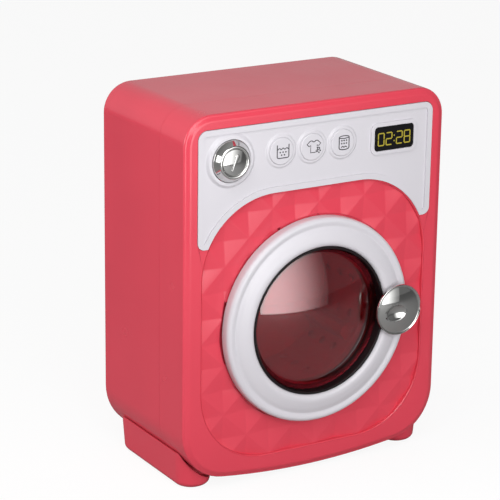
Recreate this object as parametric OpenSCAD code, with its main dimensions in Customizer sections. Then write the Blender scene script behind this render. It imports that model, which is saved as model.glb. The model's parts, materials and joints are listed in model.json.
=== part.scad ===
// Toy washing machine, 140 x 80 x 180 mm. +Z is up, the door faces -Y, and the
// origin is under the middle of the toy, on the surface that the feet stand on.
// Front pieces are drawn in a front frame: x to the right, y up, z towards the viewer.

/* [Casing] */
// Width over the side walls
body_w = 140; // [138:1:144]
// Depth from the front edge of the bezel to the back
body_d = 80; // [80:1:84]
// Height from the floor to the flat top
body_h = 180; // [179:1:184]
// Radius of the two top corners
corner_top_r = 14; // [13:0.5:16]
// Radius of the two bottom corners
corner_low_r = 24.5; // [23:0.5:26]
// Radius of the shallow belly between the bottom corners
belly_r = 360; // [340:5:400]
// Height of the belly's lowest point over the floor
belly_z = 2; // [1.6:0.1:3]
// Wall thickness of the casing halves
wall = 2; // [1.8:0.1:2.2]
// Distance of the parting line in front of the middle
parting_f = 16.8; // [15:0.1:18]

/* [Quilted front] */
// Half width of the quilted field
field_half = 61.3; // [60.5:0.1:61.6]
// Top of the quilted field
field_top = 139.7; // [139:0.1:140.5]
// Bottom of the quilted field
field_low = 12; // [11.5:0.1:13]
// Horizontal distance from a ridge crossing to the next hollow
quilt_dx = 12.5; // [12:0.1:13]
// Vertical distance from a ridge crossing to the next hollow
quilt_dz = 12; // [11.5:0.1:12.5]
// Depth of the hollows below the ridges
quilt_depth = 1.5; // [0.8:0.1:1.7]

/* [Door] */
// Height of the door's and the drum's axis
door_z = 76; // [75.5:0.1:76.5]
// Outer radius of the door ring
ring_r = 49.8; // [49.5:0.1:50]
// Radius of the inner lip of the door ring
lip_r = 36.07; // [35.8:0.01:36.3]
// Rise of the lens's dome
lens_rise = 6.5; // [5:0.1:7]
// Radius of the handle's disc
handle_r = 12.5; // [12:0.1:13]

/* [Controls] */
// Radius of the program dial
dial_r = 9.75; // [9.5:0.05:9.9]
// Radius of the button caps
button_r = 6.2; // [6:0.1:6.3]
// Distance between two buttons
button_pitch = 16.5; // [16.2:0.1:17]
// Width and height of the display window
display_size = [22, 11.5];

/* [Drive] */
// Teeth of the gear on the drum's shaft
drum_teeth = 60; // [58:1:60]
// Teeth of the two large idler wheels
wheel_teeth = 36; // [34:1:36]
// Teeth of the pinions
pinion_teeth = 12; // [12:1:13]
// Outer radius of the wash drum
drum_r = 36.3; // [35.8:0.1:36.5]
// Holes in one row round the drum
drum_holes = 12; // [9:1:15]

/* [Hidden] */
$fn = 64;
eps = 0.01;

// Casing planes, as distances in front of the middle
front_f = body_d / 2;
rear_f = -body_d / 2;
half_w = body_w / 2;
plate_back_f = front_f - 4.6;
low_c_x = half_w - corner_low_r;
belly_c_z = belly_z + belly_r;
low_c_z = belly_c_z - sqrt(pow(belly_r - corner_low_r, 2) - pow(low_c_x, 2));
top_c_x = half_w - corner_top_r;
top_c_z = body_h - corner_top_r;
belly_angle = asin(low_c_x / (belly_r - corner_low_r));

// Bezel: a small round edge, a sloped strip, then the flat band round the front
edge_r = 1;
strip_w = 3;
strip_rise = 0.95;
corner_steps = 12;
belly_steps = 14;
rear_edge_r = 3;

// Quilted field
field_top_r = 38;
field_low_r = 36;
field_steps = 16;
field_border = 2.4;
ridge_f = front_f - 0.9;
quilt_x0 = 1.5;
quilt_z0 = 132.2;
quilt_back_f = plate_back_f + 0.3;

// Control panel
panel_half = 63.3;
panel_top = 173.2;
panel_top_r = 4.5;
panel_low = 118.2;
horn_r = 3.6;
panel_floor_f = front_f - 2.7;
panel_f = front_f - 0.7;
panel_rim_w = 2.7;
panel_rim_h = 0.75;
panel_fit = 0.2;
panel_boss_x = 59;
panel_boss_at = [[-panel_boss_x, 146], [panel_boss_x, 146], [-28, 169], [28, 169]];
panel_boss_r = 2.6;

// Dial, buttons and display
dial_at = [-46.5, 158];
dial_ring_r = 12.8;
dial_shaft_r = 3;
buttons_z = 159.2;
button_x = [-20, -20 + button_pitch, -20 + 2 * button_pitch];
button_ring_w = 1.15;
button_play = 0.25;
button_travel = 1.2;
button_flange_r = 7.4;
display_at = [41.8, 158.25];
display_frame_w = 1.95;
display_corner_r = 1.2;

// Circuit board, in front of the drum's tub
board_f = front_f - 12;
board_t = 1.6;
board_half = 56;
board_z = [148, 168];
board_post_at = [[-33, 150.5], [-33, 165.5], [22.5, 150.5], [22.5, 165.5]];
board_post_r = 2.5;

// Screws: pilot holes are a little wider than the shanks
screw_r = 1.1;
pilot_r = 1.15;
head_r = 2.3;
head_h = 1.4;

// Posts that the casing screws go through
post_at = [[61.5, 171.5], [58, 31]];
post_r = 4.5;
post_bore_r = 3.1;
post_seat_f = 10.5;
post_gap = 0.3;

// Door: ring, lens, liner and handle, with radii from the door's axis
seat_r = ring_r + 0.8;
seat_f = front_f - 1.6;
moat_r = 47.3;
moat_f = front_f - 3.3;
mouth_r = 37.5;
collar_back_f = 31;
collar_t = 2;
ring_back_f = seat_f + 0.8;
ring_outer_wall_f = front_f + 2.9;
bead_f = front_f + 4.6;
groove_r = 45.5;
groove_f = front_f + 4;
crown_r = 39.2;
crown_f = front_f + 6;
lip_under_f = front_f + 3.2;
lens_seat_r = 38;
lens_wall_r = 39.6;
lens_f = front_f + 2;
lens_dome_r = 31;
lens_t = 1.6;
lens_flange_r = 37.8;
liner_r = [32, 45.3];
liner_f = [front_f - 2.2, front_f - 0.8];
liner_pad_f = front_f;
liner_screw_r = 43.6;
liner_screw_angles = [52, 128, 270];

// Hidden hinge in the hollow back of the ring, with an upright pin. The lug is a
// swan neck: its foot stands to the right of the pin, so that the ring's wall
// swings past it and needs no notch.
hinge_x = -46.2;
hinge_f = front_f + 1;
hinge_pin_r = 0.8;
hinge_run = 0.05;
hinge_lug_half = 2.8;
hinge_lug_r = 1.5;
hinge_gap = 0.3;
hinge_boss_half = 6.6;
hinge_boss_x = 2.2;
hinge_boss_low = 1.7;
hinge_foot = [3, 4.6];
hinge_arm = [-0.9, 0.7];
hinge_pocket_half = 15;
hinge_pocket_x = -41;

handle_x = 41.6;
handle_face_f = front_f + 10.5;
handle_t = 3;
handle_neck_r = 4.4;
handle_chord = 12;
handle_screw_head_r = 1.9;
handle_screw_f = lip_under_f - 0.75;

// The door and its handle stand in front of the casing, so the casing's middle
// lies a little behind the origin, which is the middle of everything
middle_y = (handle_face_f + rear_f) / 2;

// Catch: a tab on the liner slides along a spring leaf behind the front
tab_x = [41.5, 43.1];
tab_half_z = 4;
tab_tip_f = front_f - 9.5;
slot_x = [41.1, 44.7];

// Tub and drum
tub_r = 40.5;
tub_wall = 2;
tub_front_f = 30.7;
tub_plate_f = [-12.5, -10.5];
tub_ear_r = 46;
drum_wall = 1.5;
drum_front_f = 29.5;
drum_back_f = -8;
drum_mouth_r = 33.4;
shaft_r = 3;
bush_r = 5;
paddle_tip_r = 28.5;
drum_hole_r = 2;

// Gear train behind the tub: three planes, from the tub to the back
gear_m = 1;
pressure = 20;
tooth_play = 0.09;
addendum = 0.85;
dedendum = 1.15;
plane_a = [-17.5, -13.5];
plane_b = [-21.3, -18.3];
plane_c = [-25.1, -22.1];
axle_r = 1.5;
axle_run = 0.05;
drum_axis = [0, door_z];
drum_pitch_r = gear_m * drum_teeth / 2;
wheel_pitch_r = gear_m * wheel_teeth / 2;
pinion_pitch_r = gear_m * pinion_teeth / 2;
low_at = drum_axis + [0, drum_pitch_r + pinion_pitch_r];
wheel_gap = wheel_pitch_r + pinion_pitch_r;
motor_reach = 42.9;
motor_at = low_at + [motor_reach, 0];
high_at = low_at + [motor_reach / 2, sqrt(pow(wheel_gap, 2) - pow(motor_reach / 2, 2))];
cover_floor_f = -26.4;
cover_back_f = -27.7;
cover_wall = 1.2;
cover_screw_at = [[-22.45, 103.95], [31.1, 58], [21.45, 146.65]];

motor_r = 10;
motor_half_t = 7.6;
motor_f = [-10.5, 14.5];
motor_cup_f = -3;
motor_shaft_r = 1;

speaker_at = [-40, 141];
speaker_r = 17.5;
grille_rings = [[0, 1], [4.6, 6], [9.2, 12]];

// Battery bay in the lower part of the back
cell_r = 7.1;
cell_len = 49.5;
cell_z = [17.8, 32.6];
cell_f = -30;
bay_half = 27.5;
bay_z = [10.2, 40.2];
bay_floor_f = -22.5;
bay_wall = 1.5;
cover_half = 31;
cover_z = [8.4, 47];
cover_t = 2;
cover_fit = 0.25;
battery_screw_at = [0, 43.8];
battery_seat = 1.1;

// Feet: two runners with round ends
foot_x = 57.5;
foot_half = 7;
foot_y = [-31, 27.5];
foot_edge = 1.6;
foot_top = 18;
foot_gap = 0.2;

coral = "#dd5565";
white = "#e4e2e8";
chrome = "#c8cacd";
grey = "#8b8f94";
steel = "#a9adb2";

// Moves what is drawn round the casing's middle to the origin of the whole toy
module placed() {
    translate([0, middle_y, 0]) children();
}

// Turns the front frame into the world: up stays up, z points to -Y
module front_frame() {
    placed() rotate([90, 0, 0]) children();
}

// A round bar along the view direction, from one front distance to another
module bar(at, f0, f1, r) {
    translate([at[0], at[1], min(f0, f1)]) cylinder(h = abs(f1 - f0), r = r);
}

module slab(f0, f1) {
    translate([0, 0, f0]) linear_extrude(f1 - f0) children();
}

function arc_points(centre, r, from, to, steps) =
    [for (k = [0 : steps]) let (a = from + (to - from) * k / steps)
        [centre[0] + r * cos(a), centre[1] + r * sin(a)]];

// Outline of the casing, moved inward: four corners, and a shallow belly below
function casing_points(inset) =
    let (low_r = corner_low_r - inset, top_r = corner_top_r - inset,
        low_end = 270 - belly_angle, belly_step = 2 * belly_angle / belly_steps)
    concat(arc_points([top_c_x, top_c_z], top_r, 0, 90, corner_steps),
        arc_points([-top_c_x, top_c_z], top_r, 90, 180, corner_steps),
        arc_points([-low_c_x, low_c_z], low_r, 180, low_end, corner_steps),
        arc_points([0, belly_c_z], belly_r - inset, low_end + belly_step,
            270 + belly_angle - belly_step, belly_steps - 2),
        arc_points([low_c_x, low_c_z], low_r, 270 + belly_angle, 360, corner_steps));

module outline(inset) {
    polygon(casing_points(inset));
}

// Outline of the quilted field, moved inward
function field_points(inset) =
    let (low_x = field_half - field_low_r, low_z = field_low + field_low_r,
        top_x = field_half - field_top_r, top_z = field_top - field_top_r,
        low_r = field_low_r - inset, top_r = field_top_r - inset)
    concat(arc_points([top_x, top_z], top_r, 0, 90, field_steps),
        arc_points([-top_x, top_z], top_r, 90, 180, field_steps),
        arc_points([-low_x, low_z], low_r, 180, 270, field_steps),
        arc_points([low_x, low_z], low_r, 270, 360, field_steps));

module field_outline(inset) {
    polygon(field_points(inset));
}

// Closed body through rings of equal point counts, the first ring at the back
module loft(rings, levels) {
    n = len(rings[0]);
    last = len(rings) - 1;
    polyhedron(
        points = [for (k = [0 : last]) for (at = rings[k]) [at[0], at[1], levels[k]]],
        faces = concat([[for (i = [0 : n - 1]) i]],
            [for (k = [0 : last - 1]) for (i = [0 : n - 1]) let (j = (i + 1) % n)
                [k * n + i, (k + 1) * n + i, (k + 1) * n + j, k * n + j]],
            [[for (i = [n - 1 : -1 : 0]) last * n + i]]));
}

// Front half: plain wall, a small round edge, a sloped strip, then the flat band
module front_block() {
    strip_f = front_f - strip_rise;
    rows = concat([[0, parting_f], [0, strip_f - edge_r]],
        [for (a = [30, 60, 90]) [edge_r - edge_r * cos(a), strip_f - edge_r + edge_r * sin(a)]],
        [[strip_w - 0.35, front_f - 0.12], [strip_w + 0.35, front_f]]);
    loft([for (row = rows) casing_points(row[0])], [for (row = rows) row[1]]);
}

// Rear half: a rounded back edge and a plain wall up to the parting line
module rear_block() {
    base_f = rear_f + rear_edge_r;
    rows = concat([for (a = [90 : -15 : 0])
            [rear_edge_r - rear_edge_r * cos(a), base_f - rear_edge_r * sin(a)]],
        [[0, parting_f - 0.1]]);
    loft([for (row = rows) casing_points(row[0])], [for (row = rows) row[1]]);
}

// What is cut out for the quilted field, with a sloping border round it
module field_cut() {
    rows = [[field_border, quilt_back_f + eps], [field_border, ridge_f],
        [0, front_f - 0.05], [0, front_f + 1]];
    loft([for (row = rows) field_points(row[0])], [for (row = rows) row[1]]);
}

// Quilting: ridges run along both diagonals and every cell between them is a
// hollow of four facets. One sheet of lattice points, closed by a flat back.
module quilt_sheet() {
    nx = 2 * ceil(field_half / quilt_dx / 2) + 1;
    first_z = quilt_z0 + quilt_dz;
    nz = ceil((first_z - field_low) / quilt_dz);
    cols = 2 * nx + 1;
    rows = nz + 1;
    function col_x(i) = quilt_x0 + (i - nx) * quilt_dx;
    function row_z(j) = first_z - j * quilt_dz;
    function raised(i, j) = (i - nx + j - 1) % 2 == 0;
    function level(i, j) = raised(i, j) ? ridge_f : ridge_f - quilt_depth;
    function id(i, j) = j * cols + i;
    top = [for (j = [0 : rows - 1]) for (i = [0 : cols - 1]) [col_x(i), row_z(j), level(i, j)]];
    back = [[col_x(0), row_z(0), quilt_back_f], [col_x(cols - 1), row_z(0), quilt_back_f],
        [col_x(cols - 1), row_z(rows - 1), quilt_back_f], [col_x(0), row_z(rows - 1), quilt_back_f]];
    n = len(top);
    facets = [for (j = [0 : rows - 2]) for (i = [0 : cols - 2]) each raised(i, j)
        ? [[id(i, j), id(i + 1, j), id(i + 1, j + 1)], [id(i, j), id(i + 1, j + 1), id(i, j + 1)]]
        : [[id(i, j), id(i + 1, j), id(i, j + 1)], [id(i + 1, j), id(i + 1, j + 1), id(i, j + 1)]]];
    rim_top = [[n, n + 1, for (i = [cols - 1 : -1 : 0]) id(i, 0)]];
    rim_low = [[n + 2, n + 3, for (i = [0 : cols - 1]) id(i, rows - 1)]];
    rim_left = [[n + 3, n, for (j = [0 : rows - 1]) id(0, j)]];
    rim_right = [[n + 1, n + 2, for (j = [rows - 1 : -1 : 0]) id(cols - 1, j)]];
    polyhedron(points = concat(top, back),
        faces = concat(facets, rim_top, rim_low, rim_left, rim_right, [[n + 3, n + 2, n + 1, n]]));
}

module quilted_field() {
    intersection() {
        quilt_sheet();
        slab(quilt_back_f - 1, front_f) field_outline(field_border - 0.05);
    }
}

// Outline of the control panel, moved inward; its lower edge follows the field
module panel_outline(inset) {
    top_x = panel_half - panel_top_r;
    horn_x = panel_half - horn_r;
    horn_z = panel_low + horn_r;
    difference() {
        union() {
            for (side = [-1, 1]) {
                translate([side * top_x, panel_top - panel_top_r]) circle(r = panel_top_r - inset);
                translate([side * horn_x, horn_z]) circle(r = horn_r - inset);
            }
            translate([-panel_half + inset, horn_z])
                square([2 * (panel_half - inset), panel_top - panel_top_r - horn_z]);
            translate([-top_x, horn_z]) square([2 * top_x, panel_top - inset - horn_z]);
        }
        field_outline(-inset - 0.35);
    }
}

module rounded_window(size, r) {
    for (side = [-1, 1]) {
        for (up = [-1, 1]) {
            translate([side * (size[0] / 2 - r), up * (size[1] / 2 - r)]) circle(r = r, $fn = 32);
        }
    }
    square([size[0] - 2 * r, size[1]], center = true);
    square([size[0], size[1] - 2 * r], center = true);
}

// A screw whose head bears at one plane and whose tip points to the front
module screw(at, seat, length) {
    bar(at, seat - head_h, seat, head_r);
    bar(at, seat - eps, seat + length, screw_r);
}

module both_sides(at) {
    for (side = [-1, 1]) {
        translate([side * at[0], at[1], 0]) children();
    }
}

module front_casing() {
    color(coral) front_frame() difference() {
        union() {
            difference() {
                front_block();
                slab(parting_f - 1, plate_back_f) outline(wall);
                slab(panel_floor_f, front_f + 1) panel_outline(-panel_fit);
                field_cut();
            }
            quilted_field();
            front_bosses();
            bar(drum_axis, plate_back_f + eps, collar_back_f, mouth_r + collar_t);
        }
        bar(drum_axis, seat_f, front_f + 1, seat_r);
        bar(drum_axis, moat_f, front_f + 1, moat_r);
        hinge_pocket();
        bar(drum_axis, collar_back_f - 1, front_f + 1, mouth_r);
        front_openings();
    }
    color(coral) placed() hinge_lug();
}

// The moat reaches out to the seat's edge at the hinge, for the ring's wall to swing in
module hinge_pocket() {
    intersection() {
        bar(drum_axis, moat_f, front_f, seat_r - eps);
        slab(moat_f - 1, front_f + 1) translate([-seat_r - 1, door_z - hinge_pocket_half])
            square([hinge_pocket_x + seat_r + 1, 2 * hinge_pocket_half]);
    }
}

// Bosses behind the front: for casing screws, tub screws and the board
module front_bosses() {
    for (at = post_at) {
        both_sides(at) difference() {
            bar([0, 0], parting_f - 2, plate_back_f + eps, post_r - 0.5);
            bar([0, 0], parting_f - 3, parting_f + 10, pilot_r);
        }
    }
    for (a = [45 : 90 : 315]) {
        at = drum_axis + tub_ear_r * [cos(a), sin(a)];
        difference() {
            bar(at, tub_front_f, plate_back_f + eps, 3);
            bar(at, tub_front_f - 1, plate_back_f - 1, pilot_r);
        }
    }
    for (at = board_post_at) {
        difference() {
            bar(at, board_f, plate_back_f + eps, board_post_r);
            bar(at, board_f - 1, plate_back_f - 1, pilot_r);
        }
    }
}

// Holes through the front behind the panel, and the slot for the door's tab
module front_openings() {
    bar(dial_at, plate_back_f - 1, front_f, dial_shaft_r + 0.6);
    for (x = button_x) {
        bar([x, buttons_z], plate_back_f - 1, front_f, button_r + 0.4);
    }
    translate([display_at[0], display_at[1], 0])
        slab(plate_back_f - 1, front_f) rounded_window(display_size, 1);
    for (at = panel_boss_at) {
        bar(at, plate_back_f - 1, front_f, panel_boss_r + 0.2);
    }
    slab(plate_back_f - 1, front_f)
        translate([slot_x[0], door_z - tab_half_z - 0.5])
            square([slot_x[1] - slot_x[0], 2 * tab_half_z + 1]);
}

// Swan-necked lug: from its foot in the moat it rises, then reaches left to the pin
module hinge_lug() {
    foot_w = hinge_foot[1] - hinge_foot[0];
    foot_low = moat_f - 0.4 - hinge_f;
    height = 2 * hinge_lug_half;
    translate([hinge_x, -hinge_f, door_z - hinge_lug_half]) mirror([0, 1, 0]) difference() {
        union() {
            cylinder(h = height, r = hinge_lug_r, $fn = 48);
            translate([0, hinge_arm[0], 0])
                cube([hinge_foot[1], hinge_arm[1] - hinge_arm[0], height]);
            translate([hinge_foot[0], foot_low, 0])
                cube([foot_w, hinge_arm[0] - foot_low + eps, height]);
        }
        translate([0, 0, -1]) cylinder(h = height + 2, r = hinge_pin_r, $fn = 48);
    }
}

module rear_casing() {
    color(coral) difference() {
        union() {
            front_frame() rear_block();
            placed() foot(0);
            placed() mirror([1, 0, 0]) foot(0);
        }
        front_frame() {
            difference() {
                slab(rear_f + wall, parting_f + 1) outline(wall);
                rear_inner();
            }
            slab(parting_f - 0.1, front_f + 1) outline(-foot_gap);
            rear_openings();
        }
        intersection() {
            placed() foot_hollows();
            front_frame() slab(rear_f + wall, parting_f - wall) square(2 * body_h, center = true);
        }
    }
}

// Posts, battery bay and speaker ring that stand on the inside of the back
module rear_inner() {
    for (at = post_at) {
        both_sides(at) bar([0, 0], rear_f, parting_f - 2 - post_gap, post_r);
    }
    slab(rear_f, bay_floor_f + bay_wall)
        translate([-bay_half - bay_wall, bay_z[0] - bay_wall])
            square([2 * (bay_half + bay_wall), bay_z[1] - bay_z[0] + 2 * bay_wall]);
    slab(rear_f, rear_f + wall + 1.2)
        translate([-cover_half - bay_wall, cover_z[0] - bay_wall])
            square([2 * (cover_half + bay_wall), cover_z[1] - cover_z[0] + 2 * bay_wall]);
    bar(battery_screw_at, rear_f, rear_f + 10, 3.2);
    difference() {
        bar(speaker_at, rear_f, rear_f + wall + 4, speaker_r + 1.5);
        bar(speaker_at, rear_f + wall, rear_f + wall + 5, speaker_r + 0.1);
    }
}

module rear_openings() {
    for (at = post_at) {
        both_sides(at) {
            bar([0, 0], rear_f - 1, post_seat_f, post_bore_r);
            bar([0, 0], post_seat_f - 1, parting_f, screw_r + 0.2);
        }
    }
    slab(rear_f - 1, bay_floor_f)
        translate([-bay_half, bay_z[0]]) square([2 * bay_half, bay_z[1] - bay_z[0]]);
    slab(rear_f - 1, rear_f + cover_t) battery_cover_outline(0);
    bar(battery_screw_at, rear_f - 1, rear_f + 8.5, pilot_r);
    for (ring = grille_rings) {
        for (k = [0 : ring[1] - 1]) {
            a = 360 * k / ring[1];
            bar(speaker_at + ring[0] * [cos(a), sin(a)], rear_f - 1, rear_f + wall + 1, 1.3);
        }
    }
}

// One runner, moved inward: rounded lower edges and half-round ends
module foot(inset) {
    span = foot_y[1] - foot_y[0] - 2 * foot_half;
    half = foot_half - inset;
    module half_profile() {
        intersection() {
            union() {
                translate([half - foot_edge, inset + foot_edge]) circle(r = foot_edge, $fn = 32);
                translate([0, inset]) square([half - foot_edge, foot_top - inset]);
                translate([0, inset + foot_edge]) square([half, foot_top - inset - foot_edge]);
            }
            square([half, foot_top]);
        }
    }
    translate([foot_x, foot_y[0] + foot_half, 0]) {
        rotate([0, 0, 180]) rotate_extrude(angle = 180) half_profile();
        translate([0, span, 0]) rotate_extrude(angle = 180) half_profile();
        translate([0, span, 0]) rotate([90, 0, 0]) linear_extrude(span) {
            half_profile();
            mirror([1, 0]) half_profile();
        }
    }
}

module foot_hollows() {
    foot(wall);
    mirror([1, 0, 0]) foot(wall);
}

module casing_screws() {
    color(steel) front_frame() for (at = post_at) {
        both_sides(at) screw([0, 0], post_seat_f, 14);
    }
}

module control_panel() {
    color(white) front_frame() difference() {
        union() {
            slab(panel_floor_f, panel_f) panel_outline(0);
            slab(panel_f - eps, panel_f + panel_rim_h) difference() {
                panel_outline(0);
                panel_outline(panel_rim_w);
            }
            for (at = panel_boss_at) {
                bar(at, plate_back_f, panel_f, panel_boss_r);
            }
            bar(dial_at, panel_f - eps, panel_f + 1.3, dial_ring_r);
            for (x = button_x) {
                bar([x, buttons_z], panel_f - eps, panel_f + 0.8, button_r + button_play + button_ring_w);
            }
            translate([display_at[0], display_at[1], 0]) slab(panel_f - eps, panel_f + 1)
                rounded_window(display_size + 2 * [display_frame_w, display_frame_w],
                    display_corner_r + display_frame_w);
        }
        bar(dial_at, panel_floor_f + 0.9, front_f + 2, dial_r + 0.3);
        bar(dial_at, panel_floor_f - 1, front_f, dial_shaft_r + 0.3);
        for (x = button_x) {
            bar([x, buttons_z], panel_floor_f - 1, front_f + 2, button_r + button_play);
        }
        translate([display_at[0], display_at[1], 0]) {
            slab(panel_floor_f + 0.8, front_f + 2)
                rounded_window(display_size + [0.2, 0.2], display_corner_r);
            slab(panel_floor_f - 1, front_f + 2) rounded_window(display_size - [3, 3], 1);
        }
        for (at = panel_boss_at) {
            bar(at, plate_back_f - 1, panel_f - 0.5, pilot_r);
        }
    }
}

module panel_screws() {
    color(steel) front_frame() for (at = panel_boss_at) {
        translate([at[0], at[1], 0]) {
            bar([0, 0], plate_back_f - 1.8, plate_back_f - 0.01, 3.4);
            bar([0, 0], plate_back_f - 0.1, panel_f - 0.8, screw_r);
        }
    }
}

module display_window() {
    color("black") front_frame() translate([display_at[0], display_at[1], 0])
        slab(panel_floor_f + 0.85, panel_f + 0.55) rounded_window(display_size, display_corner_r);
}

// Lamp block of the clock display, on the circuit board
module display_module() {
    size = [19, 8.5];
    color("dimgray") front_frame() translate([display_at[0], display_at[1], 0]) {
        slab(board_f, plate_back_f + 1.6) square([size[0], size[1]], center = true);
        slab(board_f, board_f + 2) square([size[0] + 2, size[1] + 4], center = true);
    }
}

// Chromed dial: a skirt, a cone and a domed face in a rim, with a drop-shaped ridge
module dial_knob() {
    base_f = panel_floor_f + 1.1;
    face_r = 7;
    face_f = front_f + 3.9;
    skirt_f = front_f + 0.7;
    dome_rise = 0.4;
    color(chrome) front_frame() translate([dial_at[0], dial_at[1], 0]) {
        rotate_extrude() polygon([[0, base_f], [dial_r, base_f], [dial_r, skirt_f],
            [dial_r - 0.25, skirt_f + 0.5], [face_r + 0.9, face_f - 0.6],
            [face_r + 0.5, face_f - 0.15], [face_r, face_f], [face_r - 0.6, face_f],
            for (x = [6 : -1.5 : 0]) [x, face_f - 0.3 + dome_rise * (1 - pow(x / 6, 2))]]);
        bar([0, 0], board_f + 1.5, base_f + eps, dial_shaft_r);
        rotate([0, 0, 68]) slab(face_f - 0.35, face_f + 0.4) {
            translate([-3.2, 0]) circle(r = 1.9);
            polygon([[-3.7, 1.85], [-2.6, 1.8], [5.9, 0.45], [5.9, -0.45], [-2.6, -1.8], [-3.7, -1.85]]);
        }
    }
}

module rotary_switch() {
    side = 14;
    color("darkslategray") front_frame() translate([dial_at[0], dial_at[1], 0]) difference() {
        union() {
            slab(board_f, board_f + 4) square([side, side], center = true);
            bar([0, 0], board_f + 3.9, board_f + 7, 4.2);
        }
        bar([0, 0], board_f + 1.2, board_f + 8, dial_shaft_r + 0.05);
    }
}

// Button cap with a flange behind the front that stops it from falling out
module button(x) {
    cap_f = front_f + 0.35;
    flange_f = plate_back_f - 0.15;
    color(white) front_frame() translate([x, buttons_z, 0]) {
        rotate_extrude() polygon([[0, flange_f - 1.6], [button_flange_r, flange_f - 1.6],
            [button_flange_r, flange_f], [button_r, flange_f], [button_r, cap_f - 0.5],
            [button_r - 0.15, cap_f - 0.15], [button_r - 0.5, cap_f], [0, cap_f]]);
    }
}

module button_tub() {
    button(button_x[0]);
}

module button_shirt() {
    button(button_x[1]);
}

module button_drum() {
    button(button_x[2]);
}

module tact_switches() {
    side = 6;
    color("black") front_frame() for (x = button_x) {
        translate([x, buttons_z, 0]) {
            slab(board_f, board_f + 3.2) square([side, side], center = true);
            bar([0, 0], board_f + 3.1, plate_back_f - 1.75 - button_travel - 0.1, 1.75);
        }
    }
}

module circuit_board() {
    color("darkgreen") front_frame() difference() {
        slab(board_f - board_t, board_f)
            translate([-board_half, board_z[0]]) square([2 * board_half, board_z[1] - board_z[0]]);
        for (at = board_post_at) {
            bar(at, board_f - board_t - 1, board_f + 1, screw_r + 0.1);
        }
    }
}

module board_screws() {
    color(steel) front_frame() for (at = board_post_at) {
        screw(at, board_f - board_t, 5);
    }
}

// Ring of the door: an outer bead, a groove, a broad crowned face and a rolled lip
module ring_profile() {
    bead = 2.2;
    lip = 2.2;
    back = lip_under_f - 0.2;
    polygon(concat(
        [[ring_r, ring_back_f], [ring_r, ring_outer_wall_f - 0.6]],
        arc_points([ring_r - bead, bead_f - bead], bead, 0, 90, 5),
        [[groove_r + 1, bead_f - 0.35], [groove_r + 0.3, groove_f], [groove_r - 0.2, groove_f]],
        [[groove_r - 0.9, groove_f + 0.5], [groove_r - 3, groove_f + 1.15],
            [groove_r - 5.2, groove_f + 1.75], [crown_r, crown_f]],
        arc_points([lip_r + lip, crown_f - lip], lip, 90, 180, 5),
        [[lip_r, lip_under_f], [lens_seat_r, lip_under_f], [lens_seat_r, liner_f[1] + 0.1],
            [lens_wall_r, liner_f[1] + 0.1], [lens_wall_r, back], [groove_r - 2, back - 0.5],
            [ring_r - 3, back - 1], [ring_r - 1.8, back - 1.6], [ring_r - 1.8, ring_back_f]]));
}

module door_ring() {
    color(white) difference() {
        union() {
            front_frame() translate([0, door_z, 0]) rotate_extrude($fn = 128) ring_profile();
            ring_bosses();
        }
        placed() hinge_clearance();
        front_frame() {
            bar([handle_x, door_z], crown_f - 1.1, crown_f + 2, handle_neck_r + 0.1);
            bar([handle_x, door_z], front_f - 1, crown_f + 2, screw_r + 0.2);
            for (a = liner_screw_angles) {
                bar(drum_axis + liner_screw_r * [cos(a), sin(a)], liner_f[0], lip_under_f, pilot_r);
            }
        }
    }
}

// Screw bosses and hinge bosses in the hollow back of the ring
module ring_bosses() {
    front_frame() for (a = liner_screw_angles) {
        bar(drum_axis + liner_screw_r * [cos(a), sin(a)], liner_f[1] + 0.1, lip_under_f, 2.4);
    }
    front_frame() intersection() {
        slab(hinge_f - hinge_boss_low, lip_under_f)
            translate([hinge_x - hinge_boss_x, door_z - hinge_boss_half])
                square([2 * hinge_boss_x, 2 * hinge_boss_half]);
        bar(drum_axis, front_f - 2, crown_f, ring_r - 0.3);
    }
    front_frame() bar([handle_x, door_z], handle_screw_f, crown_f - 1.4, 3.4);
}

// Room for the lug and the pin in the ring, short of the ring's outer wall
module hinge_clearance() {
    half = hinge_lug_half + hinge_gap;
    room = hinge_lug_r + hinge_gap;
    translate([hinge_x, -hinge_f, door_z - half]) {
        cylinder(h = 2 * half, r = room, $fn = 48);
        translate([-room, -hinge_arm[1] - hinge_gap, 0])
            cube([room + hinge_boss_x + 0.1, hinge_arm[1] + hinge_gap + 4, 2 * half]);
    }
    translate([hinge_x, -hinge_f, door_z - hinge_boss_half - 1])
        cylinder(h = 2 * hinge_boss_half + 2, r = hinge_pin_r + hinge_run, $fn = 48);
}

module hinge_pin() {
    color(steel) placed() translate([hinge_x, -hinge_f, door_z - hinge_boss_half])
        cylinder(h = 2 * hinge_boss_half, r = hinge_pin_r, $fn = 48);
}

// Clear red lens: a dome with a stepped flange that the lip and the liner hold
module door_lens() {
    dome_r = (pow(lens_dome_r, 2) + pow(lens_rise, 2)) / (2 * lens_rise);
    dome_c = lens_f + lens_rise - dome_r;
    edge_a = asin(lens_dome_r / dome_r);
    step_f = lens_f - 0.3;
    color("darkred", 0.6) front_frame() translate([0, door_z, 0]) rotate_extrude($fn = 128)
        polygon(concat(
            [for (k = [0 : 10]) let (a = edge_a * k / 10) [dome_r * sin(a), dome_c + dome_r * cos(a)]],
            [[lens_dome_r + 0.5, step_f], [lip_r - 0.3, step_f], [lip_r - 0.1, lip_under_f - 0.1],
                [lens_flange_r, lip_under_f - 0.1], [lens_flange_r, liner_pad_f + 0.1],
                [lens_dome_r, liner_pad_f + 0.1]],
            [for (k = [10 : -1 : 0]) let (a = (edge_a - 1) * k / 10)
                [(dome_r - lens_t) * sin(a), dome_c + (dome_r - lens_t) * cos(a)]]));
}

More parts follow.
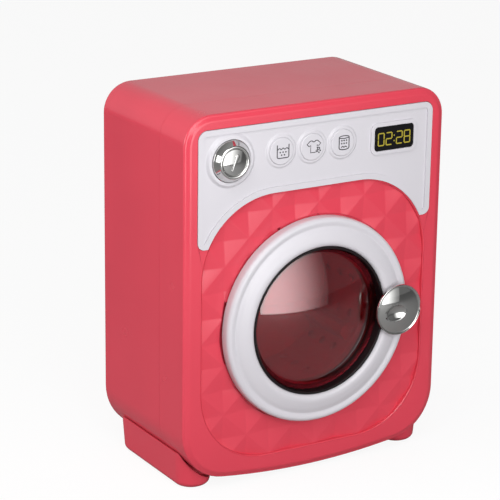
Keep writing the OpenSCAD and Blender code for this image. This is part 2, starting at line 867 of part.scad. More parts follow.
// White inner ring of the door, with the tab of the catch
module door_liner() {
    color(white) front_frame() difference() {
        union() {
            translate([0, door_z, 0]) rotate_extrude($fn = 128)
                polygon([[liner_r[0], liner_f[0]], [liner_r[1], liner_f[0]], [liner_r[1], liner_f[1]],
                    [lens_seat_r - 0.3, liner_f[1]], [lens_seat_r - 0.3, liner_pad_f],
                    [liner_r[0], liner_pad_f]]);
            slab(tab_tip_f, liner_f[1]) translate([tab_x[0], door_z - tab_half_z])
                square([tab_x[1] - tab_x[0], 2 * tab_half_z]);
        }
        for (a = liner_screw_angles) {
            at = drum_axis + liner_screw_r * [cos(a), sin(a)];
            bar(at, liner_f[0] - 1, liner_f[1] + 1, screw_r + 0.1);
        }
        slab(liner_f[0] - 1, liner_f[1] + 1)
            translate([-liner_r[1] - 1, door_z - hinge_lug_half - hinge_gap])
                square([hinge_x + hinge_foot[1] + hinge_gap + liner_r[1] + 1,
                    2 * (hinge_lug_half + hinge_gap)]);
    }
}

module liner_screws() {
    color(steel) front_frame() for (a = liner_screw_angles) {
        at = drum_axis + liner_screw_r * [cos(a), sin(a)];
        bar(at, liner_f[0] - 0.6, liner_f[0] - eps, 1.7);
        bar(at, liner_f[0] - 0.1, lip_under_f - 0.3, screw_r);
    }
}

// Chromed handle: a crowned disc with a flat on one side and an oval hollow
module door_handle() {
    rim = 1.2;
    back_f = handle_face_f - handle_t;
    crown_r = 83;
    color(chrome) front_frame() translate([handle_x, door_z, 0]) {
        difference() {
            rotate_extrude($fn = 96) polygon(concat(
                [[0, back_f], [handle_r - rim, back_f]],
                arc_points([handle_r - rim, back_f + rim], rim, -90, 50, 7),
                [for (x = [10.5 : -2.1 : 0])
                    [x, handle_face_f - crown_r + sqrt(pow(crown_r, 2) - pow(x, 2))]]));
            translate([handle_chord, -handle_r, back_f - 1]) cube([5, 2 * handle_r, handle_t + 2]);
            translate([-2.6, -1, handle_face_f + 8]) rotate([0, 0, 8]) scale([1, 0.72, 1])
                sphere(r = 10, $fn = 48);
            bar([0, 0], crown_f - 3, handle_face_f - 2.75, pilot_r);
        }
        difference() {
            bar([0, 0], crown_f - 1.1, back_f + 0.2, handle_neck_r);
            bar([0, 0], crown_f - 3, handle_face_f - 2.75, pilot_r);
        }
    }
}

module handle_screw() {
    seat = handle_screw_f - 0.02;
    color(steel) front_frame() {
        bar([handle_x, door_z], seat - head_h, seat, handle_screw_head_r);
        bar([handle_x, door_z], seat - eps, handle_face_f - 2.9, screw_r);
    }
}

// Spring leaf that holds the door's tab by friction
module door_catch() {
    leaf_x = slot_x[1] - 0.3;
    leaf_half = tab_half_z - 0.5;
    color(steel) front_frame() {
        slab(plate_back_f - 1.2, plate_back_f - 0.05) translate([slot_x[1] + 0.4, door_z - leaf_half])
            square([7, 2 * leaf_half]);
        slab(tab_tip_f - 1.5, plate_back_f - 0.6) translate([slot_x[1] + 0.4, door_z - leaf_half])
            square([0.6, 2 * leaf_half]);
        slab(tab_tip_f + 0.6, tab_tip_f + 2.2) translate([leaf_x, door_z - leaf_half])
            square([1, 2 * leaf_half]);
    }
}

// Outline of the gear case, grown by a margin
module gear_case_outline(grow) {
    translate(drum_axis) circle(r = drum_pitch_r + 2.2 + grow, $fn = 96);
    translate(low_at) circle(r = wheel_pitch_r + 2.2 + grow);
    translate(high_at) circle(r = wheel_pitch_r + 2.2 + grow);
    translate(motor_at) circle(r = pinion_pitch_r + 2.2 + grow);
}

// Fixed tub round the drum, with the plate that carries the gears and the motor
module tub() {
    color("gainsboro") front_frame() difference() {
        union() {
            bar(drum_axis, tub_plate_f[0], tub_front_f - 0.1, tub_r);
            slab(tub_plate_f[0], tub_plate_f[1]) {
                gear_case_outline(cover_wall);
                translate(motor_at) circle(r = motor_r + 2);
                for (at = cover_screw_at) {
                    translate(at) circle(r = 3.6);
                }
            }
            slab(tub_front_f - 2.6, tub_front_f - 0.2) for (a = [45 : 90 : 315]) {
                translate(drum_axis) rotate([0, 0, a]) {
                    translate([tub_ear_r, 0]) circle(r = 3.4);
                    translate([tub_r - 1.2, -2.6]) square([tub_ear_r - tub_r + 1.2, 5.2]);
                }
            }
            bar(motor_at, tub_plate_f[1] - eps, motor_cup_f, motor_r + 1.4);
        }
        bar(drum_axis, tub_plate_f[1], tub_front_f + 1, tub_r - tub_wall);
        bar(drum_axis, tub_plate_f[0] - 1, tub_plate_f[1] + 1, bush_r);
        bar(motor_at, tub_plate_f[1], motor_cup_f + 1, motor_r + 0.1);
        bar(motor_at, tub_plate_f[0] - 1, tub_plate_f[1] + 1, 3.1);
        for (at = [low_at, high_at]) {
            bar(at, tub_plate_f[0] - 1, tub_plate_f[1] + 1, axle_r);
        }
        for (at = cover_screw_at) {
            bar(at, tub_plate_f[0] - 1, tub_plate_f[1] + 1, pilot_r);
        }
        for (a = [45 : 90 : 315]) {
            bar(drum_axis + tub_ear_r * [cos(a), sin(a)], tub_front_f - 4, tub_front_f + 1, screw_r + 0.1);
        }
    }
}

module tub_screws() {
    color(steel) front_frame() for (a = [45 : 90 : 315]) {
        screw(drum_axis + tub_ear_r * [cos(a), sin(a)], tub_front_f - 2.62, 6);
    }
}

// Perforated drum with a rolled mouth, three lifting paddles and a hub
module drum() {
    rows = [-1, 9, 19];
    color("lightgray") front_frame() translate([0, door_z, 0]) difference() {
        union() {
            difference() {
                bar([0, 0], drum_back_f, drum_front_f, drum_r);
                bar([0, 0], drum_back_f + 2, drum_front_f - 1.5, drum_r - drum_wall);
                bar([0, 0], drum_front_f - 2, drum_front_f + 1, drum_mouth_r);
            }
            bar([0, 0], drum_back_f - 0.4, drum_back_f + 6, 7);
            for (k = [0 : 2]) {
                rotate([0, 0, 90 + 120 * k]) slab(drum_back_f + 1, drum_front_f - 4)
                    polygon([[paddle_tip_r, -1.5], [paddle_tip_r, 1.5], [paddle_tip_r + 1.2, 2.6],
                        [drum_r - 1, 4.6], [drum_r - 1, -4.6], [paddle_tip_r + 1.2, -2.6]]);
            }
        }
        bar([0, 0], drum_back_f - 1, drum_back_f + 5, shaft_r);
        for (row = rows) {
            for (k = [0 : drum_holes - 1]) {
                translate([0, 0, row]) rotate([0, 0, 15 + 360 * k / drum_holes]) rotate([0, 90, 0])
                    translate([0, 0, drum_r - 4]) cylinder(h = 6, r = drum_hole_r, $fn = 24);
            }
        }
    }
}

module drum_shaft() {
    color(steel) front_frame() bar(drum_axis, drum_back_f + 5, plane_a[0] - 0.6, shaft_r);
}

module drum_bush() {
    color("goldenrod") front_frame() difference() {
        bar(drum_axis, tub_plate_f[0] - 0.5, tub_plate_f[1] + 1.5, bush_r);
        bar(drum_axis, tub_plate_f[0] - 1, tub_plate_f[1] + 2, shaft_r + 0.05);
    }
}

// Involute tooth flanks: half the angle of a tooth at a radius
function involute(angle) = tan(angle) * 180 / PI - angle;
function flank_angle(teeth, r) =
    let (base = gear_m * teeth / 2 * cos(pressure))
    90 / teeth * (1 - tooth_play) + involute(pressure) - involute(acos(min(1, base / max(r, base))));

// Outline of a gear with its first tooth turned to an angle
module gear_outline(teeth, phase) {
    pitch_r = gear_m * teeth / 2;
    radii = [pitch_r - dedendum * gear_m, pitch_r - 0.4 * gear_m, pitch_r + 0.2 * gear_m,
        pitch_r + addendum * gear_m];
    polygon([for (t = [0 : teeth - 1]) for (k = [0 : 7])
        let (r = radii[k < 4 ? k : 7 - k], side = k < 4 ? -1 : 1,
            a = phase + 360 * t / teeth + side * flank_angle(teeth, r))
        [r * cos(a), r * sin(a)]]);
}

module gear(at, plane, teeth, phase) {
    translate([at[0], at[1], plane[0]]) linear_extrude(plane[1] - plane[0]) gear_outline(teeth, phase);
}

// Direction from one axle to the next, and the phase that puts a gap on it
function heading(from, to) = atan2(to[1] - from[1], to[0] - from[0]);
function gap_phase(from, to, teeth) = heading(from, to) + 180 + 180 / teeth;

module drum_gear() {
    color("ivory") front_frame() difference() {
        union() {
            gear(drum_axis, plane_a, drum_teeth, heading(drum_axis, low_at));
            bar(drum_axis, plane_a[0] - 0.3, plane_a[1] + 0.3, 6);
        }
        bar(drum_axis, plane_a[0] - 1, plane_a[1] + 1, shaft_r);
        for (k = [0 : 5]) {
            bar(drum_axis + 18 * [cos(60 * k), sin(60 * k)], plane_a[0] - 1, plane_a[1] + 1, 6);
        }
    }
}

// A compound wheel: a small pinion towards the tub and a large wheel behind it
module idler(at, small_plane, small_phase, big_plane, big_phase, hub_f) {
    color("ivory") front_frame() difference() {
        union() {
            gear(at, [small_plane[0] - 0.9, small_plane[1]], pinion_teeth, small_phase);
            gear(at, big_plane, wheel_teeth, big_phase);
            bar(at, hub_f[0], hub_f[1], 3);
        }
        bar(at, hub_f[0] - 1, hub_f[1] + 1, axle_r + axle_run);
    }
}

module idler_low() {
    idler(low_at, plane_a, gap_phase(drum_axis, low_at, pinion_teeth), plane_b,
        heading(low_at, high_at), [cover_floor_f + 0.3, tub_plate_f[0] - 0.3]);
}

module idler_high() {
    idler(high_at, plane_b, gap_phase(low_at, high_at, pinion_teeth), plane_c,
        heading(high_at, motor_at), [cover_floor_f + 0.3, tub_plate_f[0] - 0.3]);
}

module idler_axles() {
    color(steel) front_frame() for (at = [low_at, high_at]) {
        bar(at, cover_floor_f - 0.6, tub_plate_f[1], axle_r);
    }
}

// Small direct-current motor with flat sides and two terminals
module motor() {
    color(grey) front_frame() translate([motor_at[0], motor_at[1], 0]) difference() {
        union() {
            intersection() {
                bar([0, 0], motor_f[0], motor_f[1], motor_r);
                slab(motor_f[0], motor_f[1])
                    square([2 * motor_half_t, 2 * motor_r], center = true);
            }
            bar([0, 0], motor_f[0] - 1.6, motor_f[0] + eps, 3);
            bar([0, 0], motor_f[1] - eps, motor_f[1] + 1.6, 3);
            for (up = [-1, 1]) {
                slab(motor_f[1] - eps, motor_f[1] + 3) translate([-1.25, up * 6.5 - 0.25])
                    square([2.5, 0.5]);
            }
        }
        bar([0, 0], motor_f[0] - 3, motor_f[1] - 4, motor_shaft_r + 0.05);
    }
}

module motor_shaft() {
    color(steel) front_frame() bar(motor_at, cover_floor_f + 0.5, motor_f[1] - 5, motor_shaft_r);
}

module motor_pinion() {
    color("goldenrod") front_frame() difference() {
        gear(motor_at, [plane_c[0], plane_c[1] + 1.5], pinion_teeth,
            gap_phase(high_at, motor_at, pinion_teeth));
        bar(motor_at, plane_c[0] - 1, plane_c[1] + 3, motor_shaft_r);
    }
}

module gear_cover() {
    color("gainsboro") front_frame() difference() {
        union() {
            slab(cover_back_f, tub_plate_f[0] - 0.05) gear_case_outline(cover_wall);
            for (at = cover_screw_at) {
                bar(at, tub_plate_f[0] - 3, tub_plate_f[0] - 0.05, 3.6);
            }
        }
        slab(cover_floor_f, tub_plate_f[0] + 1) gear_case_outline(0);
        for (at = [low_at, high_at]) {
            bar(at, cover_floor_f - 0.7, cover_floor_f + 1, axle_r + 0.02);
        }
        for (at = cover_screw_at) {
            bar(at, tub_plate_f[0] - 4, tub_plate_f[0] + 1, screw_r + 0.1);
        }
    }
}

module gear_cover_screws() {
    seat = tub_plate_f[0] - 3.02;
    color(steel) front_frame() for (at = cover_screw_at) {
        bar(at, seat - head_h, seat, head_r);
        bar(at, seat - eps, tub_plate_f[1], screw_r);
    }
}

// Loudspeaker: a flat basket against the grille and a magnet behind it
module speaker() {
    face_f = rear_f + wall + 0.05;
    color("dimgray") front_frame() {
        bar(speaker_at, face_f, face_f + 1.6, speaker_r);
        translate([speaker_at[0], speaker_at[1], face_f + 1.5])
            cylinder(h = 3, r1 = speaker_r - 2, r2 = 9.5);
        bar(speaker_at, face_f + 4, face_f + 8.5, 9.5);
    }
}

module battery_cells() {
    nub = 1;
    color("goldenrod") placed() for (k = [0, 1]) {
        flip = k == 0 ? 1 : -1;
        translate([-flip * cell_len / 2, -cell_f, cell_z[k]]) rotate([0, 90 * flip, 0]) {
            cylinder(h = cell_len - nub, r = cell_r);
            cylinder(h = cell_len, r = 2.7);
        }
    }
}

// Contact plates at both ends of the bay, each with two pressed cups
module battery_contacts() {
    color(steel) placed() for (side = [-1, 1]) {
        mirror([side < 0 ? 1 : 0, 0, 0]) {
            translate([bay_half - 0.5, -cell_f - 5, cell_z[0] - 5])
                cube([0.4, 10, cell_z[1] - cell_z[0] + 10]);
            for (z = cell_z) {
                translate([cell_len / 2 + 0.3, -cell_f, z]) rotate([0, 90, 0])
                    cylinder(h = bay_half - 0.3 - cell_len / 2 - 0.2, r1 = 3, r2 = 4.2);
            }
        }
    }
}

// Outline of the battery cover, moved inward
module battery_cover_outline(inset) {
    r = 2;
    translate([0, (cover_z[0] + cover_z[1]) / 2])
        rounded_window([2 * (cover_half - inset), cover_z[1] - cover_z[0] - 2 * inset], r);
}

module battery_cover() {
    color(coral) front_frame() difference() {
        slab(rear_f, rear_f + cover_t - 0.05) battery_cover_outline(cover_fit);
        bar(battery_screw_at, rear_f - 1, rear_f + cover_t, screw_r + 0.2);
        bar(battery_screw_at, rear_f - 1, rear_f + battery_seat, head_r + 0.3);
        for (k = [0 : 4]) {
            slab(rear_f - 1, rear_f + 0.6) translate([-8, 12 + 2 * k]) square([16, 1]);
        }
    }
}

module battery_screw() {
    color(steel) front_frame() {
        bar(battery_screw_at, rear_f + 0.15, rear_f + battery_seat - eps, head_r);
        bar(battery_screw_at, rear_f + battery_seat - 0.1, rear_f + 8, screw_r);
    }
}

front_casing();
rear_casing();
casing_screws();
control_panel();
panel_screws();
display_window();
display_module();
dial_knob();
rotary_switch();
button_tub();
button_shirt();
button_drum();
tact_switches();
circuit_board();
board_screws();
door_ring();
door_lens();
door_liner();
liner_screws();
door_handle();
handle_screw();
hinge_pin();
door_catch();
tub();
tub_screws();
drum();
drum_shaft();
drum_bush();
drum_gear();
idler_low();
idler_high();
idler_axles();
motor();
motor_shaft();
motor_pinion();
gear_cover();
gear_cover_screws();
speaker();
battery_cells();
battery_contacts();
battery_cover();
battery_screw();
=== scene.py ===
"""Looks of the toy washing machine: finishes, new surface pieces, studio and camera.

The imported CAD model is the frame. Everything here is in metres in that frame, with +Z up
and the door facing -Y. Sizes that come from the real toy are written in millimetres and
turned by MM.
"""

import json
import logging
import math
from dataclasses import dataclass, field
from enum import Enum
from typing import Any, Callable, Sequence

import bmesh
import bpy
from mathutils import Matrix, Vector

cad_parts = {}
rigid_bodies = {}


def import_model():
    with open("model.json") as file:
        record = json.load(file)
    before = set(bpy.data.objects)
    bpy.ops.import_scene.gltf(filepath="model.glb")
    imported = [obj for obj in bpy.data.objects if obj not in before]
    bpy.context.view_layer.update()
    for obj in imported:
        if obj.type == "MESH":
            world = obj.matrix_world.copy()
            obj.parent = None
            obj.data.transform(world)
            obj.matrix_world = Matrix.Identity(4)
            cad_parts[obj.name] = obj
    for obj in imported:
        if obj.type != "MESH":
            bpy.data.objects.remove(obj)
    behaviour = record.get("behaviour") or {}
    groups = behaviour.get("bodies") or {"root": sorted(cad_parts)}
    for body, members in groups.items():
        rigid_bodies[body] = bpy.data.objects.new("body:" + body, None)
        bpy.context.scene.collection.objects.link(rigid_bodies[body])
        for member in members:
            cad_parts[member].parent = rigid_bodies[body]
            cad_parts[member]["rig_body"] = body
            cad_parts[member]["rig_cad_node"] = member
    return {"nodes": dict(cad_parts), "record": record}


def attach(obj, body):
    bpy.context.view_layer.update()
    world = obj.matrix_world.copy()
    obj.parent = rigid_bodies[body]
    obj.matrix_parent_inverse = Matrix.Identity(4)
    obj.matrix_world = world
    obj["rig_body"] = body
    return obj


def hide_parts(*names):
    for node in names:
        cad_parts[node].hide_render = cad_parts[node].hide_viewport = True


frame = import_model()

LOG = logging.getLogger("washing_machine")
MM = 0.001
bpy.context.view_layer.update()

# The casing's middle plane lies this far behind the origin
MIDDLE_Y = 5.25
DOOR_Z = 76.0

# Points this close to a face lie on it, and points lower than this lie on the floor
TOUCH = 0.1
NEAR_FLOOR = 1.0
# Loose points of a CAD mesh that are closer than this become one
MERGE = 0.002
# Turn that makes a flat disc or plane face the front
UPRIGHT = (math.pi / 2, 0, 0)
# Sides of the door's circles, and faces round a corner of the quilted field
DOOR_STEPS = 128
FIELD_STEPS = 28
# Width of a hexagon over its radius
HEXAGON_WIDTH = 1.732
# Noise levels at which a cloudy colour is fully dark and fully light
TONE_ENDS = (0.15, 0.85)

# Two, three or four numbers, and a printed picture as its lines and its dots
Pair = tuple[float, float]
Triple = tuple[float, float, float]
Quad = tuple[float, float, float, float]
Drawing = tuple[list[tuple[list[Pair], bool]], list[Pair]]


def front_point(x: float, z: float, proud: float) -> Vector:
    """Place in metres of a point given in millimetres in front of the casing's middle.

    Args:
        x: distance to the right of the middle.
        z: height over the floor.
        proud: distance in front of the casing's middle plane.

    Returns:
        The point in the frame.
    """
    return Vector((x, MIDDLE_Y - proud, z)) * MM


def direction(azimuth: float, elevation: float) -> Vector:
    """Unit vector from the toy towards a lamp or the camera.

    Args:
        azimuth: degrees from straight in front, to the right.
        elevation: degrees above level.

    Returns:
        The vector.
    """
    turn, rise = math.radians(azimuth), math.radians(elevation)
    return Vector((math.sin(turn) * math.cos(rise), -math.cos(turn) * math.cos(rise),
                   math.sin(rise)))


def arc(centre: Pair, radii: Pair, first: int, last: int,
        step: int) -> list[Pair]:
    """Points of an arc.

    Args:
        centre: its middle.
        radii: its radius across and upward.
        first: angle of the first point in degrees.
        last: angle of the last point.
        step: degrees from a point to the next.

    Returns:
        The points, both ends included.
    """
    angles = [math.radians(a) for a in range(first, last + 1, step)]
    return [(centre[0] + radii[0] * math.cos(a), centre[1] + radii[1] * math.sin(a))
            for a in angles]


def linear(hex_colour: str) -> Quad:
    """Turns an sRGB hex colour to the linear values that shaders take.

    Args:
        hex_colour: the colour, such as "#dd5565".

    Returns:
        Linear red, green, blue and an alpha of one.
    """
    def channel(pair: str) -> float:
        """Linear value of one pair of hex digits."""
        value = int(pair, 16) / 255
        return value / 12.92 if value <= 0.04045 else ((value + 0.055) / 1.055) ** 2.4

    digits = hex_colour.lstrip("#")
    return (*(channel(digits[i:i + 2]) for i in (0, 2, 4)), 1.0)


def add_node(tree: bpy.types.NodeTree, kind: str, inputs: dict[Any, Any] | None = None,
             **settings: Any) -> bpy.types.Node:
    """Adds a node, sets it and links it.

    Args:
        tree: the node tree that gets the node.
        kind: the node's type, such as "ShaderNodeBump".
        inputs: input names or indices with a value, or an output socket to link.
        **settings: properties of the node itself.

    Returns:
        The new node.
    """
    node = tree.nodes.new(kind)
    for name, value in settings.items():
        setattr(node, name, value)
    for key, value in (inputs or {}).items():
        if isinstance(value, bpy.types.NodeSocket):
            tree.links.new(value, node.inputs[key])
        else:
            node.inputs[key].default_value = value
    return node


def new_material(name: str) -> tuple[bpy.types.Material, bpy.types.NodeTree, bpy.types.Node]:
    """Starts a node material with an empty tree.

    Args:
        name: the material's name.

    Returns:
        The material, its tree and its output node.
    """
    material = bpy.data.materials.new(name)
    material.use_nodes = True
    tree = material.node_tree
    tree.nodes.clear()
    return material, tree, add_node(tree, "ShaderNodeOutputMaterial")


def tone_between(tree: bpy.types.NodeTree, factor: bpy.types.NodeSocket, dark: Sequence[float],
                 light: Sequence[float]) -> bpy.types.NodeSocket:
    """Colour between a dark and a light tone, by a factor.

    Args:
        tree: the material's tree.
        factor: the socket that drives the mix.
        dark: linear colour at the low end.
        light: linear colour at the high end.

    Returns:
        The mixed colour's socket.
    """
    ramp = add_node(tree, "ShaderNodeValToRGB", {"Fac": factor})
    for element, position, colour in zip(ramp.color_ramp.elements, TONE_ENDS, (dark, light)):
        element.position = position
        element.color = colour
    return ramp.outputs["Color"]


def noise(tree: bpy.types.NodeTree, wave_mm: float, detail: float) -> bpy.types.NodeSocket:
    """Soft noise that is fixed to the object.

    Args:
        tree: the material's tree.
        wave_mm: length of its waves in millimetres.
        detail: how much finer noise is laid over them.

    Returns:
        The noise's socket, from 0 to 1.
    """
    place = add_node(tree, "ShaderNodeTexCoord").outputs["Object"]
    return add_node(tree, "ShaderNodeTexNoise", {"Vector": place, "Scale": 1 / (wave_mm * MM),
                                                 "Detail": detail}).outputs["Fac"]


def bump(tree: bpy.types.NodeTree, height: bpy.types.NodeSocket, depth_mm: float,
         strength: float = 1.0) -> bpy.types.NodeSocket:
    """Bends a skin's shading by a height.

    Args:
        tree: the material's tree.
        height: the socket with the height, from 0 to 1.
        depth_mm: what a height of 1 stands for, in millimetres.
        strength: share of the bend that is used.

    Returns:
        The bent normal's socket.
    """
    return add_node(tree, "ShaderNodeBump", {"Height": height, "Distance": depth_mm * MM,
                                             "Strength": strength}).outputs["Normal"]


def mapped(tree: bpy.types.NodeTree, value: bpy.types.NodeSocket, span: Pair,
           result: Sequence[float], **settings: Any) -> bpy.types.NodeSocket:
    """Carries a value from one span over to another.

    Args:
        tree: the node tree.
        value: the socket with the value.
        span: its low and its high end.
        result: what the two ends become.
        **settings: the node's own properties.

    Returns:
        The result's socket.
    """
    return add_node(tree, "ShaderNodeMapRange",
                    {"Value": value, "From Min": span[0], "From Max": span[1],
                     "To Min": result[0], "To Max": result[1]}, **settings).outputs["Result"]


def mixed(tree: bpy.types.NodeTree, share: bpy.types.NodeSocket, first: bpy.types.NodeSocket,
          second: bpy.types.NodeSocket) -> bpy.types.NodeSocket:
    """Mixes two shaders.

    Args:
        tree: the node tree.
        share: the socket with the second shader's share.
        first: the first shader's socket.
        second: the second shader's socket.

    Returns:
        The mixed shader's socket.
    """
    return add_node(tree, "ShaderNodeMixShader", {0: share, 1: first, 2: second}).outputs["Shader"]


def math_node(tree: bpy.types.NodeTree, operation: str, first: bpy.types.NodeSocket,
              second: Any) -> bpy.types.NodeSocket:
    """Calculates with two values.

    Args:
        tree: the node tree.
        operation: the kind of sum, such as "MAXIMUM".
        first: the first value's socket.
        second: the second value or its socket.

    Returns:
        The result's socket.
    """
    return add_node(tree, "ShaderNodeMath", {0: first, 1: second},
                    operation=operation).outputs["Value"]


def shown_share(tree: bpy.types.NodeTree) -> bpy.types.NodeSocket:
    """One for rays that show a thing to the camera, straight or through the lens.

    Args:
        tree: the node tree.

    Returns:
        The socket, which is zero for every other ray.
    """
    path = add_node(tree, "ShaderNodeLightPath")
    return math_node(tree, "MAXIMUM", path.outputs["Is Camera Ray"],
                     path.outputs["Is Transmission Ray"])


@dataclass(frozen=True)
class MouldedPlastic:
    """Injection-moulded ABS or polystyrene, from a polished tool.

    The tool leaves a very slight waviness of a few millimetres, which bends reflections,
    and a fine frosting of handling marks that varies the gloss.

    Attributes:
        name: the material's name.
        colour: sRGB hex colour of the plastic.
        roughness: mean roughness of the skin.
        wave_mm: length of the moulding's waves.
        wave_depth_mm: depth of the waves.
        tint: how much lighter the cloudy variation is.
        specular: strength of the plain gloss.
        cloud_mm: length of the tint's clouds.
        marks_mm: length of the handling marks.
        marks: how much rougher or smoother they make the skin, as a share.
        marks_span: noise levels between which the marks come up.
    """

    name: str
    colour: str
    roughness: float = 0.28
    wave_mm: float = 9.0
    wave_depth_mm: float = 0.012
    tint: float = 0.04
    specular: float = 0.5
    cloud_mm: float = 40.0
    marks_mm: float = 16.0
    marks: float = 0.2
    marks_span: Pair = (0.1, 0.9)

    def material(self) -> bpy.types.Material:
        """Builds the material.

        Returns:
            A material that reads Object coordinates.
        """
        material, tree, output = new_material(self.name)
        base = linear(self.colour)
        light = tuple(min(1.0, c * (1 + self.tint)) for c in base[:3]) + (1.0,)
        dark = tuple(c * (1 - self.tint) for c in base[:3]) + (1.0,)
        gloss = mapped(tree, noise(tree, self.marks_mm, 1.0), self.marks_span,
                       (self.roughness * (1 - self.marks), self.roughness * (1 + self.marks)))
        shader = add_node(
            tree, "ShaderNodeBsdfPrincipled",
            {"Base Color": tone_between(tree, noise(tree, self.cloud_mm, 1.0), dark, light),
             "Roughness": gloss, "IOR": 1.53, "Specular IOR Level": self.specular,
             "Normal": bump(tree, noise(tree, self.wave_mm, 0.0), self.wave_depth_mm)})
        tree.links.new(shader.outputs["BSDF"], output.inputs["Surface"])
        return material


@dataclass(frozen=True)
class ChromedPlastic:
    """Vacuum-chromed ABS: a mirror skin over a moulded part, with faint handling marks.

    Attributes:
        name: the material's name.
        colour: sRGB hex colour of the metal.
        roughness: mean roughness of the mirror.
        marks_mm: length of the handling marks.
        marks_depth_mm: depth of the marks.
        marks_span: noise levels between which the marks come up.
        marks_gloss: share of the roughness at these two levels.
    """

    name: str
    colour: str
    roughness: float = 0.06
    marks_mm: float = 2.5
    marks_depth_mm: float = 0.002
    marks_span: Pair = (0.4, 0.7)
    marks_gloss: Pair = (0.7, 1.4)

    def material(self) -> bpy.types.Material:
        """Builds the material.

        Returns:
            A metal that reads Object coordinates.
        """
        material, tree, output = new_material(self.name)
        marks = noise(tree, self.marks_mm, 4.0)
        gloss = mapped(tree, marks, self.marks_span,
                       [self.roughness * share for share in self.marks_gloss])
        shader = add_node(tree, "ShaderNodeBsdfPrincipled",
                          {"Base Color": linear(self.colour), "Metallic": 1.0, "Roughness": gloss,
                           "Normal": bump(tree, marks, self.marks_depth_mm, 0.5)})
        tree.links.new(shader.outputs["BSDF"], output.inputs["Surface"])
        return material


@dataclass(frozen=True)
class LitLamp:
    """Lit bar of a clock display: a diffuse glow that is a little uneven.

    Attributes:
        name: the material's name.
        colour: sRGB hex colour of the lit bar.
        glow: strength of its own light.
        cloud_mm: length of the uneven glow's clouds.
        dimmest: share of the glow that is left where it is weakest.
    """

    name: str
    colour: str
    glow: float = 0.75
    cloud_mm: float = 2.0
    dimmest: float = 0.85

    def material(self) -> bpy.types.Material:
        """Builds the material.

        Returns:
            A glowing plastic that reads Object coordinates.
        """
        material, tree, output = new_material(self.name)
        bright = linear(self.colour)
        dim = tuple(c * self.dimmest for c in bright[:3]) + (1.0,)
        tone = tone_between(tree, noise(tree, self.cloud_mm, 1.0), dim, bright)
        shader = add_node(tree, "ShaderNodeBsdfPrincipled",
                          {"Base Color": (0.02, 0.02, 0.01, 1), "Roughness": 0.4,
                           "Emission Color": tone, "Emission Strength": self.glow})
        tree.links.new(shader.outputs["BSDF"], output.inputs["Surface"])
        return material


@dataclass(frozen=True)
class TintedClear:
    """Clear polystyrene, dyed dark red, polished on both faces.

    The dye darkens what is behind it, and the polish keeps its reflections sharp. Lamps
    shine through it, as a tinted shadow.

    Attributes:
        name: the material's name.
        colour: sRGB hex colour that one face leaves.
        shadow: sRGB hex colour of the light that comes through.
        roughness: roughness of the skin.
        coat: strength of the extra polish on the outside.
        wave_mm: length of the moulding's waves.
        wave_depth_mm: depth of the waves.
    """

    name: str
    colour: str
    shadow: str
    roughness: float = 0.05
    coat: float = 1.0
    wave_mm: float = 25.0
    wave_depth_mm: float = 0.01

    def material(self) -> bpy.types.Material:
        """Builds the material.

        Returns:
            A red glass that lets lamps through.
        """
        material, tree, output = new_material(self.name)
        normal = bump(tree, noise(tree, self.wave_mm, 0.0), self.wave_depth_mm, 0.5)
        shader = add_node(tree, "ShaderNodeBsdfPrincipled",
                          {"Base Color": linear(self.colour), "Roughness": self.roughness,
                           "IOR": 1.57, "Transmission Weight": 1.0, "Normal": normal,
                           "Coat Weight": self.coat, "Coat Roughness": 0.04})
        through = add_node(tree, "ShaderNodeBsdfTransparent", {"Color": linear(self.shadow)})
        path = add_node(tree, "ShaderNodeLightPath")
        skin = mixed(tree, path.outputs["Is Shadow Ray"], shader.outputs["BSDF"],
                     through.outputs["BSDF"])
        tree.links.new(skin, output.inputs["Surface"])
        return material


@dataclass(frozen=True)
class PhotoCamera:
    """The photograph's camera, as fitted to the outline of the casing.

    Attributes:
        lens_mm: focal length.
        sensor_mm: width of the sensor.
        azimuth: degrees from straight in front, to the right.
        elevation: degrees above level.
        roll: degrees that the camera leans.
        distance_mm: distance from the target.
        target_mm: x, y and z of what it looks at.
    """

    lens_mm: float = 156.75
    sensor_mm: float = 36.0
    azimuth: float = -31.27
    elevation: float = 17.39
    roll: float = 0.79
    distance_mm: float = 1038.29
    target_mm: Triple = (-11.68, MIDDLE_Y, 100.16)

    def build(self) -> None:
        """Adds the camera and makes it the scene's own."""
        back = direction(self.azimuth, self.elevation)
        lean = math.radians(self.roll)
        right = (-back).cross(Vector((0, 0, 1))).normalized()
        up = right.cross(-back)
        leaned_right = right * math.cos(lean) + up * math.sin(lean)
        leaned_up = up * math.cos(lean) - right * math.sin(lean)
        data = bpy.data.cameras.new("photo_camera")
        data.lens = self.lens_mm
        data.sensor_width = self.sensor_mm
        data.clip_end = 20
        camera = bpy.data.objects.new("photo_camera", data)
        bpy.context.scene.collection.objects.link(camera)
        axes = Matrix((leaned_right, leaned_up, back)).transposed().to_4x4()
        place = Vector(self.target_mm) * MM + back * self.distance_mm * MM
        camera.matrix_world = Matrix.Translation(place) @ axes
        bpy.context.scene.camera = camera


